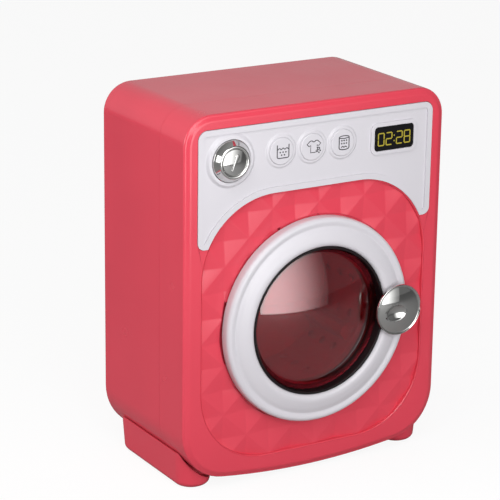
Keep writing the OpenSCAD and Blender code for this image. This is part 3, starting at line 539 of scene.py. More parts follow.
@dataclass(frozen=True)
class Softbox:
    """A rectangular studio lamp that faces the toy.

    Attributes:
        name: the lamp's name.
        azimuth: degrees from straight in front, to the right.
        elevation: degrees above level.
        distance: metres from the toy.
        size: width and height in metres.
        power: watts.
        fade: share of its width over which its cloth darkens to one side.
        darkest: share of its light that the cloth passes there.
    """

    name: str
    azimuth: float
    elevation: float
    distance: float
    size: Pair
    power: float
    fade: float = 0.0
    darkest: float = 0.05

    def build(self, target: Vector) -> None:
        """Adds the lamp, turned to a target.

        Args:
            target: what it faces, in metres.
        """
        back = direction(self.azimuth, self.elevation)
        data = bpy.data.lights.new(self.name, "AREA")
        data.shape = "RECTANGLE"
        data.size, data.size_y = self.size
        data.energy = self.power
        lamp = bpy.data.objects.new(self.name, data)
        bpy.context.scene.collection.objects.link(lamp)
        lamp.location = target + back * self.distance
        lamp.rotation_euler = back.to_track_quat("Z", "Y").to_euler()
        if self.fade:
            self._shade_cloth(data)

    def _shade_cloth(self, data: bpy.types.Light) -> None:
        """Darkens the lamp's front cloth towards one side.

        Args:
            data: the lamp's data.
        """
        data.use_nodes = True
        tree = data.node_tree
        tree.nodes.clear()
        place = add_node(tree, "ShaderNodeNewGeometry").outputs["Parametric"]
        parts = add_node(tree, "ShaderNodeSeparateXYZ", {"Vector": place})
        level = mapped(tree, parts.outputs["X"], (1 - self.fade, 1.0), (1.0, self.darkest),
                       interpolation_type="SMOOTHSTEP")
        glow = add_node(tree, "ShaderNodeEmission", {"Strength": level})
        add_node(tree, "ShaderNodeOutputLight", {"Surface": glow.outputs["Emission"]})


@dataclass
class Studio:
    """Pale floor, white surroundings, soft lamps and the camera.

    Attributes:
        lamps: the studio's lamps.
        world_level: brightness of the backdrop on the toy.
        overhead: share of it that comes from above.
        front_room: share of it that comes from the room beside the softbox.
        floor_size: side of the floor in metres.
        floor_tone: sRGB hex colour of the floor.
        floor_glow: strength of the light that whitens it, and that light's share.
        ceiling: upward part of a direction, where the ceiling starts and is complete.
        room_end: rearward part of a direction, where the darker room is complete and ends.
        aim_height: height in millimetres that the lamps face.
    """

    lamps: tuple[Softbox, ...] = (
        Softbox("front_softbox", 7.0, 11.5, 0.5, (0.49, 0.37), 2.5, fade=0.8),
        Softbox("high_left_softbox", -38.0, 44.0, 0.5, (0.3, 0.3), 1.1),
        Softbox("side_softbox", -104.0, 14.0, 1.5, (1.0, 0.8), 10.0),
    )
    world_level: float = 0.57
    overhead: float = 0.75
    front_room: float = 0.3
    floor_size: float = 6.0
    floor_tone: str = "#989898"
    floor_glow: Pair = (1.3, 0.7)
    ceiling: Pair = (0.35, 0.65)
    room_end: Pair = (-0.25, 0.35)
    aim_height: float = 90.0

    def build(self) -> None:
        """Builds the whole studio."""
        scene = bpy.context.scene
        scene.view_settings.view_transform = "Standard"
        PhotoCamera().build()
        target = front_point(0, self.aim_height, 0)
        for lamp in self.lamps:
            lamp.build(target)
        self._world(scene)
        self._floor()
        LOG.info("studio: %d lamps, floor and surroundings", len(self.lamps))

    def _world(self, scene: bpy.types.Scene) -> None:
        """Surroundings: a white backdrop behind, a darker room in front and overhead.

        Args:
            scene: the scene that gets them.
        """
        world = bpy.data.worlds.new("studio_surroundings")
        world.use_nodes = True
        tree = world.node_tree
        tree.nodes.clear()
        direction = add_node(tree, "ShaderNodeTexCoord").outputs["Generated"]
        parts = add_node(tree, "ShaderNodeSeparateXYZ", {"Vector": direction})
        height = mapped(tree, parts.outputs["Z"], self.ceiling, (1.0, self.overhead))
        depth = mapped(tree, parts.outputs["Y"], self.room_end, (self.front_room, 1.0))
        room = add_node(tree, "ShaderNodeBackground",
                        {"Color": math_node(tree, "MULTIPLY", height, depth),
                         "Strength": self.world_level})
        white = add_node(tree, "ShaderNodeBackground", {"Color": (1, 1, 1, 1), "Strength": 1.0})
        mix = mixed(tree, shown_share(tree), room.outputs["Background"],
                    white.outputs["Background"])
        output = add_node(tree, "ShaderNodeOutputWorld", {"Surface": mix})
        output.is_active_output = True
        scene.world = world

    def _floor(self) -> None:
        """A pale floor that keeps the toy's shadow and is near white to the camera."""
        clear_selection()
        bpy.ops.mesh.primitive_plane_add(size=self.floor_size, location=(0, 0, 0))
        floor = bpy.context.active_object
        floor.name = "studio_floor"
        material, tree, output = new_material("pale_table_top")
        strength, most = self.floor_glow
        matte = add_node(tree, "ShaderNodeBsdfDiffuse", {"Color": linear(self.floor_tone)})
        glow = add_node(tree, "ShaderNodeEmission", {"Color": (1, 1, 1, 1), "Strength": strength})
        mix = mixed(tree, math_node(tree, "MULTIPLY", shown_share(tree), most),
                    matte.outputs["BSDF"], glow.outputs["Emission"])
        tree.links.new(mix, output.inputs["Surface"])
        floor.data.materials.append(material)


def clear_selection() -> None:
    """Leaves edit mode and deselects everything."""
    if bpy.context.object and bpy.context.object.mode != "OBJECT":
        bpy.ops.object.mode_set(mode="OBJECT")
    bpy.ops.object.select_all(action="DESELECT")


def select_only(piece: bpy.types.Object) -> None:
    """Makes one object the only selected and the active one.

    Args:
        piece: the object.
    """
    clear_selection()
    piece.select_set(True)
    bpy.context.view_layer.objects.active = piece


def apply_modifier(piece: bpy.types.Object, kind: str, **settings: Any) -> None:
    """Adds a modifier to a piece and applies it.

    Args:
        piece: the object.
        kind: the modifier's type, such as "BEVEL".
        **settings: the modifier's own properties.
    """
    select_only(piece)
    modifier = piece.modifiers.new(kind.lower(), kind)
    for name, value in settings.items():
        setattr(modifier, name, value)
    bpy.ops.object.modifier_apply(modifier=modifier.name)


def finish_piece(piece: bpy.types.Object, material: bpy.types.Material, body: str, slot: str,
                 *nodes: str) -> None:
    """Gives a new piece its finish, the body it rides on and the nodes it stands for.

    Args:
        piece: the new object, in place.
        material: its finish.
        body: the CAD body it moves with.
        slot: the record's material slot; not used.
        *nodes: the CAD nodes that it replaces.
    """
    piece.data.materials.clear()
    piece.data.materials.append(material)
    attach(piece, body)
    if nodes:
        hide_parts(*nodes)
    LOG.info("%s: %d faces on %s", piece.name, len(piece.data.polygons), body)


def body_of_node(node: str) -> str:
    """Name of the CAD body that holds a node.

    Args:
        node: the node's name.

    Returns:
        The body's name.
    """
    return frame["nodes"][node]["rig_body"]


def merged_copy(node: str, name: str) -> bpy.types.Object:
    """Copies a CAD node and joins its loose triangles into whole faces.

    Args:
        node: the CAD node.
        name: the new piece's name.

    Returns:
        The new piece, which isn't dressed yet.
    """
    clear_selection()
    piece = frame["nodes"][node].copy()
    piece.data = frame["nodes"][node].data.copy()
    piece.name = name
    piece.parent = None
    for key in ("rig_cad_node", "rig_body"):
        del piece[key]
    bpy.context.scene.collection.objects.link(piece)
    select_only(piece)
    if piece.data.has_custom_normals:
        bpy.ops.mesh.customdata_custom_splitnormals_clear()
    bpy.ops.object.mode_set(mode="EDIT")
    bpy.ops.mesh.select_mode(type="VERT")
    bpy.ops.mesh.select_all(action="SELECT")
    bpy.ops.mesh.remove_doubles(threshold=MERGE * MM)
    bpy.ops.mesh.mark_sharp(clear=True)
    bpy.ops.object.mode_set(mode="OBJECT")
    return piece


def round_edges(piece: bpy.types.Object, width_mm: float, chosen: Callable[[Vector], bool],
                least_angle: float = 30.0, segments: int = 3, harden: bool = True) -> None:
    """Rounds the sharp edges of a piece that lie in a chosen place.

    A moulded edge is never sharp: the small radius catches a line of light.

    Args:
        piece: the object.
        width_mm: width of the rounded edge on each of its two faces.
        chosen: says whether a point, in millimetres as (x, height, proud), is rounded.
        least_angle: least angle in degrees between the faces of a rounded edge.
        segments: faces across the rounded edge.
        harden: keeps the faces beside the edge flat, on a piece that is shaded already.
    """
    select_only(piece)
    shape = bmesh.new()
    shape.from_mesh(piece.data)
    weight = shape.edges.layers.float.new("bevel_weight_edge")
    for edge in shape.edges:
        if edge.calc_face_angle(0.0) < math.radians(least_angle):
            continue
        ends = [Vector((v.co.x / MM, v.co.z / MM, MIDDLE_Y - v.co.y / MM)) for v in edge.verts]
        edge[weight] = float(all(chosen(end) for end in ends))
    shape.to_mesh(piece.data)
    shape.free()
    apply_modifier(piece, "BEVEL", width=width_mm * MM, segments=segments,
                   limit_method="WEIGHT", use_clamp_overlap=False, harden_normals=harden)


def smooth_faces(piece: bpy.types.Object, angle: float = 32.0, weighted: bool = False) -> None:
    """Shades a piece smooth, short of its sharp edges.

    Args:
        piece: the object.
        angle: edges sharper than this many degrees stay sharp.
        weighted: large faces keep their own direction, and small ones bend to them.
    """
    select_only(piece)
    bpy.ops.object.shade_smooth_by_angle(angle=math.radians(angle))
    if weighted:
        apply_modifier(piece, "WEIGHTED_NORMAL", mode="FACE_AREA", keep_sharp=True)


def settle(name: str, scale: Sequence[float] = (1, 1, 1)) -> bpy.types.Object:
    """Names the object that was just added and puts its place and scale into its mesh.

    Args:
        name: the object's name.
        scale: its scale along its own x, y and z.

    Returns:
        The object.
    """
    piece = bpy.context.active_object
    piece.name = name
    piece.scale = scale
    bpy.ops.object.transform_apply(location=True, rotation=True, scale=True)
    return piece


def cuboid(name: str, middle: Vector, size: Triple) -> bpy.types.Object:
    """Shapes a plain block.

    Args:
        name: the piece's name.
        middle: its middle in metres.
        size: width, depth and height in millimetres.

    Returns:
        The block.
    """
    clear_selection()
    bpy.ops.mesh.primitive_cube_add(size=1, location=middle)
    return settle(name, [side * MM for side in size])


def joined(pieces: list[bpy.types.Object], name: str) -> bpy.types.Object:
    """Joins several objects.

    Args:
        pieces: the objects, which are used up.
        name: the joined object's name.

    Returns:
        The joined object.
    """
    clear_selection()
    for piece in pieces:
        piece.select_set(True)
    bpy.context.view_layer.objects.active = pieces[0]
    bpy.ops.object.join()
    whole = bpy.context.active_object
    whole.name = name
    return whole


def push(distance: float) -> None:
    """Draws the selected faces of the edited mesh out to the front.

    Args:
        distance: how far in millimetres, or to the back where it is negative.
    """
    bpy.ops.mesh.extrude_region_move(
        TRANSFORM_OT_translate={"value": (0, -distance * MM, 0)})


def close_mesh() -> None:
    """Turns all faces of the edited mesh outward and leaves edit mode."""
    bpy.ops.mesh.select_all(action="SELECT")
    bpy.ops.mesh.normals_make_consistent(inside=False)
    bpy.ops.object.mode_set(mode="OBJECT")


def turned_piece(name: str, centre: Pair, rings: Sequence[Pair],
                 steps: int = 96) -> bpy.types.Object:
    """Shapes a round piece ring by ring, as on a lathe, along the view direction.

    Args:
        name: the piece's name.
        centre: x and height of its axis in millimetres.
        rings: radius and proud distance of each ring in millimetres, from back to front.
        steps: sides of the rings.

    Returns:
        The closed piece.
    """
    clear_selection()
    radius, proud = rings[0]
    bpy.ops.mesh.primitive_circle_add(vertices=steps, radius=radius * MM, fill_type="NGON",
                                      location=front_point(*centre, proud), rotation=UPRIGHT)
    piece = settle(name)
    bpy.ops.object.mode_set(mode="EDIT")
    bpy.ops.mesh.select_mode(type="FACE")
    bpy.ops.mesh.select_all(action="SELECT")
    for next_radius, next_proud in rings[1:]:
        push(next_proud - proud)
        share = next_radius / radius
        bpy.ops.transform.resize(value=(share, 1, share),
                                 center_override=front_point(*centre, next_proud))
        radius, proud = next_radius, next_proud
    close_mesh()
    return piece


def rounded_slab(name: str, centre: Pair, size: Pair,
                 depth: Pair, low_r: float, top_r: float,
                 steps: int = 14) -> bpy.types.Object:
    """Shapes a slab with round corners that stands upright behind the front.

    Args:
        name: the piece's name.
        centre: x and height of its middle in millimetres.
        size: width and height in millimetres.
        depth: proud distance of its back and of its front.
        low_r: radius of the two lower corners.
        top_r: radius of the two upper corners.
        steps: faces round a corner.

    Returns:
        The closed piece.
    """
    clear_selection()
    bpy.ops.mesh.primitive_plane_add(size=1, location=front_point(*centre, depth[0]),
                                     rotation=UPRIGHT)
    piece = settle(name, (size[0] * MM, size[1] * MM, 1))
    for radius, is_top in ((low_r, False), (top_r, True)):
        select_points(piece, lambda at: (at.y > centre[1]) == is_top)
        bpy.ops.mesh.bevel(offset=radius * MM, segments=steps, affect="VERTICES", profile=0.5)
        bpy.ops.object.mode_set(mode="OBJECT")
    select_points(piece, lambda at: True)
    push(depth[1] - depth[0])
    close_mesh()
    return piece


def select_points(piece: bpy.types.Object, chosen: Callable[[Vector], bool]) -> None:
    """Selects the vertices of a piece that lie in a chosen place, and enters edit mode.

    Args:
        piece: the object.
        chosen: says whether a point, in millimetres as (x, height, proud), is selected.
    """
    select_only(piece)
    bpy.ops.object.mode_set(mode="EDIT")
    bpy.ops.mesh.select_mode(type="VERT")
    bpy.ops.mesh.select_all(action="DESELECT")
    bpy.ops.object.mode_set(mode="OBJECT")
    for vertex in piece.data.vertices:
        at = vertex.co / MM
        vertex.select = chosen(Vector((at.x, at.z, MIDDLE_Y - at.y)))
    bpy.ops.object.mode_set(mode="EDIT")
    bpy.ops.mesh.select_mode(type="VERT")


def cut(piece: bpy.types.Object, tool: bpy.types.Object, operation: str) -> None:
    """Cuts a piece with another, which is used up.

    Args:
        piece: the object that is cut.
        tool: the object that cuts.
        operation: the kind of cut, such as "DIFFERENCE".
    """
    apply_modifier(piece, "BOOLEAN", object=tool, operation=operation, solver="EXACT")
    bpy.data.objects.remove(tool, do_unlink=True)


@dataclass
class Finishes:
    """Every finish of the toy, built once."""

    coral: bpy.types.Material
    white: bpy.types.Material
    chrome: bpy.types.Material
    red_clear: bpy.types.Material
    black_gloss: bpy.types.Material
    black_matte: bpy.types.Material
    drum_grey: bpy.types.Material
    gear_ivory: bpy.types.Material
    steel: bpy.types.Material
    brass: bpy.types.Material
    board_green: bpy.types.Material
    cell_jacket: bpy.types.Material
    seal_rubber: bpy.types.Material
    icon_ink: bpy.types.Material
    lit_digit: bpy.types.Material

    @classmethod
    def build(cls) -> "Finishes":
        """Builds the materials.

        Returns:
            The set of finishes.
        """
        return cls(
            coral=MouldedPlastic("coral_moulded_abs", "#e04557", roughness=0.24, specular=0.52,
                                 wave_depth_mm=0.004).material(),
            white=MouldedPlastic("white_moulded_abs", "#d6d3d9", roughness=0.32, tint=0.012,
                                 wave_depth_mm=0.008).material(),
            chrome=ChromedPlastic("vacuum_chromed_abs", "#d4d4d2").material(),
            red_clear=TintedClear("dark_red_clear_polystyrene", "#c83a4c", "#ae3446").material(),
            black_gloss=MouldedPlastic("black_gloss_polystyrene", "#121113", roughness=0.12,
                                       tint=0.1).material(),
            black_matte=MouldedPlastic("black_moulded_nylon", "#1c1c1e", roughness=0.5).material(),
            drum_grey=MouldedPlastic("grey_moulded_polypropylene", "#b9b6ba",
                                     roughness=0.4).material(),
            gear_ivory=MouldedPlastic("ivory_acetal", "#ece7d6", roughness=0.38).material(),
            steel=ChromedPlastic("zinc_plated_steel", "#a9adb2", roughness=0.3).material(),
            brass=ChromedPlastic("turned_brass", "#c8a45a", roughness=0.25).material(),
            board_green=MouldedPlastic("solder_mask_on_glass_laminate", "#14512f",
                                       roughness=0.25, tint=0.1).material(),
            cell_jacket=MouldedPlastic("printed_cell_jacket", "#b98a2c", roughness=0.22,
                                       tint=0.1).material(),
            # Near-black finish of the ring round the lens: painted shade where the lens meets the
            # door's ring
            seal_rubber=MouldedPlastic("black_seal_rubber", "#150c0f", roughness=0.4,
                                       specular=0.25).material(),
            icon_ink=MouldedPlastic("dark_grey_pad_print", "#2c2a31", roughness=0.45,
                                    tint=0.08).material(),
            lit_digit=LitLamp("yellow_display_lamp", "#e3cf3a", 0.6).material(),
        )

    def for_slot(self, slot: str) -> bpy.types.Material:
        """Finish of one of the record's material slots.

        Args:
            slot: the slot's name.

        Returns:
            The material that dresses it.
        """
        return {
            "coral_plastic": self.coral, "white_plastic": self.white,
            "chromed_plastic": self.chrome, "red_clear": self.red_clear,
            "black_gloss": self.black_gloss, "steel": self.steel,
            "circuit_green": self.board_green, "black_plastic": self.black_matte,
            "grey_plastic": self.drum_grey, "gear_plastic": self.gear_ivory,
            "brass": self.brass, "motor_steel": self.steel, "battery": self.cell_jacket,
        }[slot]


def dress_cad_nodes(finishes: Finishes) -> None:
    """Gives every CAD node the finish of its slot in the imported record.

    Args:
        finishes: the set of finishes.
    """
    slots = {row["node"]: row["material_slot"] for row in frame["record"]["subparts"]}
    for node, piece in frame["nodes"].items():
        piece.data.materials.clear()
        piece.data.materials.append(finishes.for_slot(slots[node]))
        LOG.info("%s: dressed as %s", node, slots[node])


@dataclass
class QuiltedField:
    """Quilted sheet of the front: ridges along both diagonals, faceted hollows between them.

    Attributes:
        half_width: half of the field's width.
        heights: lower and upper end of the field.
        corner_radii: radii of its lower and upper corners.
        lip: width of the slope left round it.
        gap: space between the sheet and the recess that it fills.
        depth: depth of the recess behind the ridges.
        thickness: thickness of the sheet.
        first_ridge: x and height of one ridge crossing.
        pitch: distance from a crossing to the next hollow, across and upward.
        ridge_proud: distance of the ridges in front of the middle.
        hollow_depth: depth of the hollows.
        ridge_edge: width of a rounded ridge on each side.
        seat_radius: radius of the door's seat, which the sheet leaves free.
        seat_reach: how far the tool for the seat reaches to both sides of the ridges.
        reach: how far the tool for the outline reaches in front of them.
        cells: lattice cells across and upward.
    """

    half_width: float = 61.3
    heights: Pair = (12.0, 139.7)
    corner_radii: Pair = (36.0, 38.0)
    lip: float = 0.45
    gap: float = 0.05
    depth: float = 2.1
    thickness: float = 2.0
    first_ridge: Pair = (1.5, 132.2)
    pitch: Pair = (12.5, 12.0)
    ridge_proud: float = 39.1
    hollow_depth: float = 1.5
    ridge_edge: float = 0.4
    seat_radius: float = 50.6
    seat_reach: float = 7.0
    reach: float = 6.0
    cells: int = 12

    def build(self, finishes: "Finishes") -> None:
        """Builds and dresses the sheet.

        Args:
            finishes: the set of finishes.
        """
        sheet = self._lattice()
        select_points(sheet, lambda at: True)
        push(-self.thickness)
        close_mesh()
        cut(sheet, self.outline(-self.lip - self.gap), "INTERSECT")
        cut(sheet, self.seat(), "DIFFERENCE")
        smooth_faces(sheet, angle=30.0)
        finish_piece(sheet, finishes.coral, body_of_node("front_casing"), "coral_plastic")

    def seat(self, inward: float = 0.0) -> bpy.types.Object:
        """Cylinder over the door's seat, as a tool to cut with.

        Args:
            inward: distance that its side stays inside the seat's side.

        Returns:
            The cylinder, through the whole front.
        """
        radius = self.seat_radius - inward
        ends = (self.ridge_proud - self.seat_reach, self.ridge_proud + self.seat_reach)
        return turned_piece("door_seat", (0, DOOR_Z), [(radius, end) for end in ends], DOOR_STEPS)

    def outline(self, grow: float, depth: float = 6.0) -> bpy.types.Object:
        """Slab of the field's outline, as a tool to cut with.

        Args:
            grow: distance that it reaches past the field's edge.
            depth: distance that it reaches behind the ridges.

        Returns:
            The slab, open to the front.
        """
        low, top = self.heights
        return rounded_slab("field_outline", (0, (low + top) / 2),
                            (2 * (self.half_width + grow), top - low + 2 * grow),
                            (self.ridge_proud - depth, self.ridge_proud + self.reach),
                            *(radius + grow for radius in self.corner_radii), FIELD_STEPS)

    def _is_ridge(self, at: Vector) -> bool:
        """Says whether a lattice point is a crossing of ridges.

        Args:
            at: the point in millimetres, as (x, height, proud).

        Returns:
            True for a crossing, False for a hollow.
        """
        across = round((at.x - self.first_ridge[0]) / self.pitch[0])
        upward = round((at.y - self.first_ridge[1]) / self.pitch[1])
        return (across + upward) % 2 == 0

    def _lattice(self) -> bpy.types.Object:
        """Lattice with its hollows pressed in and its ridges rounded.

        Returns:
            The open sheet.
        """
        half = self.cells / 2
        middle = (self.first_ridge[0], self.first_ridge[1] - (half - 1) * self.pitch[1])
        clear_selection()
        bpy.ops.mesh.primitive_grid_add(x_subdivisions=self.cells, y_subdivisions=self.cells,
                                        size=1, location=front_point(*middle, self.ridge_proud),
                                        rotation=UPRIGHT)
        sheet = settle("quilted_front_skin",
                       (self.cells * self.pitch[0] * MM, self.cells * self.pitch[1] * MM, 1))
        select_points(sheet, self._is_ridge)
        bpy.ops.mesh.vert_connect()
        bpy.ops.object.mode_set(mode="OBJECT")
        select_points(sheet, lambda at: not self._is_ridge(at))
        bpy.ops.transform.translate(value=(0, self.hollow_depth * MM, 0))
        bpy.ops.mesh.select_all(action="SELECT")
        bpy.ops.mesh.bevel(offset=self.ridge_edge * MM, segments=2, affect="EDGES", profile=0.5)
        bpy.ops.object.mode_set(mode="OBJECT")
        return sheet


@dataclass
class Casing:
    """Coral casing halves and the battery cover.

        front_edge: width of the rounded edges of the front.
        front_reach: how far behind the flat band they are found.
        front_angle: least angle between the faces of such an edge, in degrees.
        seat_gap: width of the rim that is left between the recess and the door's seat.
        front_edge: width of the rounded edges of the front.
        back_edge: width of the rounded edges of the back.
        front_face: distance of the flat band in front of the middle.
        back_face: distance of the back from the middle, negative.
        bay_reach: half width and top of the part of the back with the battery bay.
        screw_at: x and height of the battery cover's screw.
        screw_head: distance of its head from the middle, negative.
        recess: half length, half width and depth of the arms of its cross recess.
        foot_x: inner and outer side of a runner.
        foot_proud: rear and front end of a runner.
        foot_top: height at which a runner ends inside the casing's bottom.
        foot_r: radius of its upright edges.
        foot_edge: radius of its lower edge.
        foot_taper: share of its width that is left at the floor.
        foot_ends: how many times less its length narrows.
        room_at: x and height of the middle of the casing's inside, which ends the runners.
        room_size: width and height of the inside.
        room_depth: rear and front end of the inside.
        room_r: radii of its lower and upper corners.
    """

    front_edge: float = 0.2
    front_reach: float = 2.1
    front_angle: float = 8.5
    seat_gap: float = 0.1
    back_edge: float = 0.35
    front_face: float = 40.0
    back_face: float = -40.0
    bay_reach: Pair = (34.0, 52.0)
    screw_at: Pair = (0.0, 43.8)
    screw_head: float = -39.85
    recess: Triple = (1.35, 0.3, 0.7)
    foot_x: Pair = (48.6, 67.8)
    foot_proud: Pair = (-31.0, 35.5)
    foot_top: float = 17.5
    foot_r: float = 8.4
    foot_edge: float = 3.0
    foot_taper: float = 0.9
    foot_ends: float = 3.0
    room_at: Pair = (0.0, 91.5)
    room_size: Pair = (138.0, 177.0)
    room_depth: Pair = (-38.5, 38.5)
    room_r: Pair = (23.5, 13.0)

    def build(self, finishes: Finishes) -> None:
        """Builds and dresses the pieces.

        Args:
            finishes: the set of finishes.
        """
        front = merged_copy("front_casing", "front_casing_skin")
        quilting = QuiltedField()
        recess = quilting.outline(-quilting.lip, quilting.depth)
        cut(recess, quilting.seat(self.seat_gap), "DIFFERENCE")
        cut(front, recess, "DIFFERENCE")
        smooth_faces(front)
        round_edges(front, self.front_edge, lambda at: at.z > self.front_face - self.front_reach,
                    self.front_angle)
        rear = merged_copy("rear_casing", "rear_casing_skin")
        cover = merged_copy("battery_cover", "battery_cover_skin")
        for piece in (rear, cover):
            round_edges(piece, self.back_edge, self._is_bay_edge, harden=False)
            smooth_faces(piece, weighted=True)
        for node, piece in (("front_casing", front), ("rear_casing", rear),
                            ("battery_cover", cover)):
            finish_piece(piece, finishes.coral, body_of_node(node), "coral_plastic", node)
        finish_piece(self._battery_screw(), finishes.for_slot("steel"),
                     body_of_node("battery_screw"), "steel", "battery_screw")
        for side in (-1, 1):
            finish_piece(self._runner(side), finishes.coral, body_of_node("rear_casing"),
                         "coral_plastic")

    def _is_bay_edge(self, at: Vector) -> bool:
        """Says whether a point lies on the outer edge of the battery bay or its cover.

        Args:
            at: the point in millimetres, as (x, height, proud).

        Returns:
            True for a point of such an edge.
        """
        return (at.z < self.back_face + 2 * TOUCH and abs(at.x) < self.bay_reach[0]
                and at.y < self.bay_reach[1])

    def _battery_screw(self) -> bpy.types.Object:
        """Presses a cross recess into the head of the battery cover's screw.

        Returns:
            The screw.
        """
        arm, width, depth = self.recess
        head = front_point(*self.screw_at, self.screw_head)
        screw = merged_copy("battery_screw", "battery_screw_skin")
        for across, up in ((arm, width), (width, arm)):
            cut(screw, cuboid("recess_arm", head, (2 * across, 2 * depth, 2 * up)), "DIFFERENCE")
        smooth_faces(screw, angle=40.0)
        return screw

    def _runner(self, side: int) -> bpy.types.Object:
        """Shapes one runner under the casing's lower corner.

        Args:
            side: 1 for the right runner, -1 for the left one.

        Returns:
            The runner, which narrows a little to the floor.
        """
        width = self.foot_x[1] - self.foot_x[0]
        length = self.foot_proud[1] - self.foot_proud[0]
        middle = front_point(side * sum(self.foot_x) / 2, self.foot_top / 2,
                             sum(self.foot_proud) / 2)
        runner = cuboid("left_runner_skin" if side < 0 else "right_runner_skin", middle,
                        (width, length, self.foot_top))
        select_points(runner, lambda at: at.y < NEAR_FLOOR)
        shorter = 1 - (1 - self.foot_taper) / self.foot_ends
        bpy.ops.transform.resize(value=(self.foot_taper, shorter, 1), center_override=middle)
        bpy.ops.object.mode_set(mode="OBJECT")
        self._bevel_edges(runner, lambda low, high: high - low > NEAR_FLOOR, self.foot_r)
        self._bevel_edges(runner, lambda low, high: high < NEAR_FLOOR, self.foot_edge)
        room = rounded_slab("casing_room", self.room_at, self.room_size, self.room_depth,
                            *self.room_r, steps=24)
        cut(runner, room, "DIFFERENCE")
        smooth_faces(runner, angle=40.0, weighted=True)
        return runner

    @staticmethod
    def _bevel_edges(piece: bpy.types.Object, chosen: Callable[[float, float], bool],
                     radius: float) -> None:
        """Rounds the edges of a block whose two heights fit a rule.

        Args:
            piece: the block.
            chosen: takes the lower and the upper height of an edge, in millimetres.
            radius: radius of the rounding.
        """
        select_only(piece)
        bpy.ops.object.mode_set(mode="EDIT")
        bpy.ops.mesh.select_mode(type="EDGE")
        bpy.ops.mesh.select_all(action="DESELECT")
        bpy.ops.object.mode_set(mode="OBJECT")
        for edge in piece.data.edges:
            heights = sorted(piece.data.vertices[k].co.z / MM for k in edge.vertices)
            edge.select = chosen(*heights)
        bpy.ops.object.mode_set(mode="EDIT")
        bpy.ops.mesh.bevel(offset=radius * MM, segments=8, affect="EDGES", profile=0.5)
        bpy.ops.object.mode_set(mode="OBJECT")


class Glyph(Enum):
    """The small picture on a button."""

    TUB = "tub"
    SHIRT = "shirt"
    DRUM = "drum"


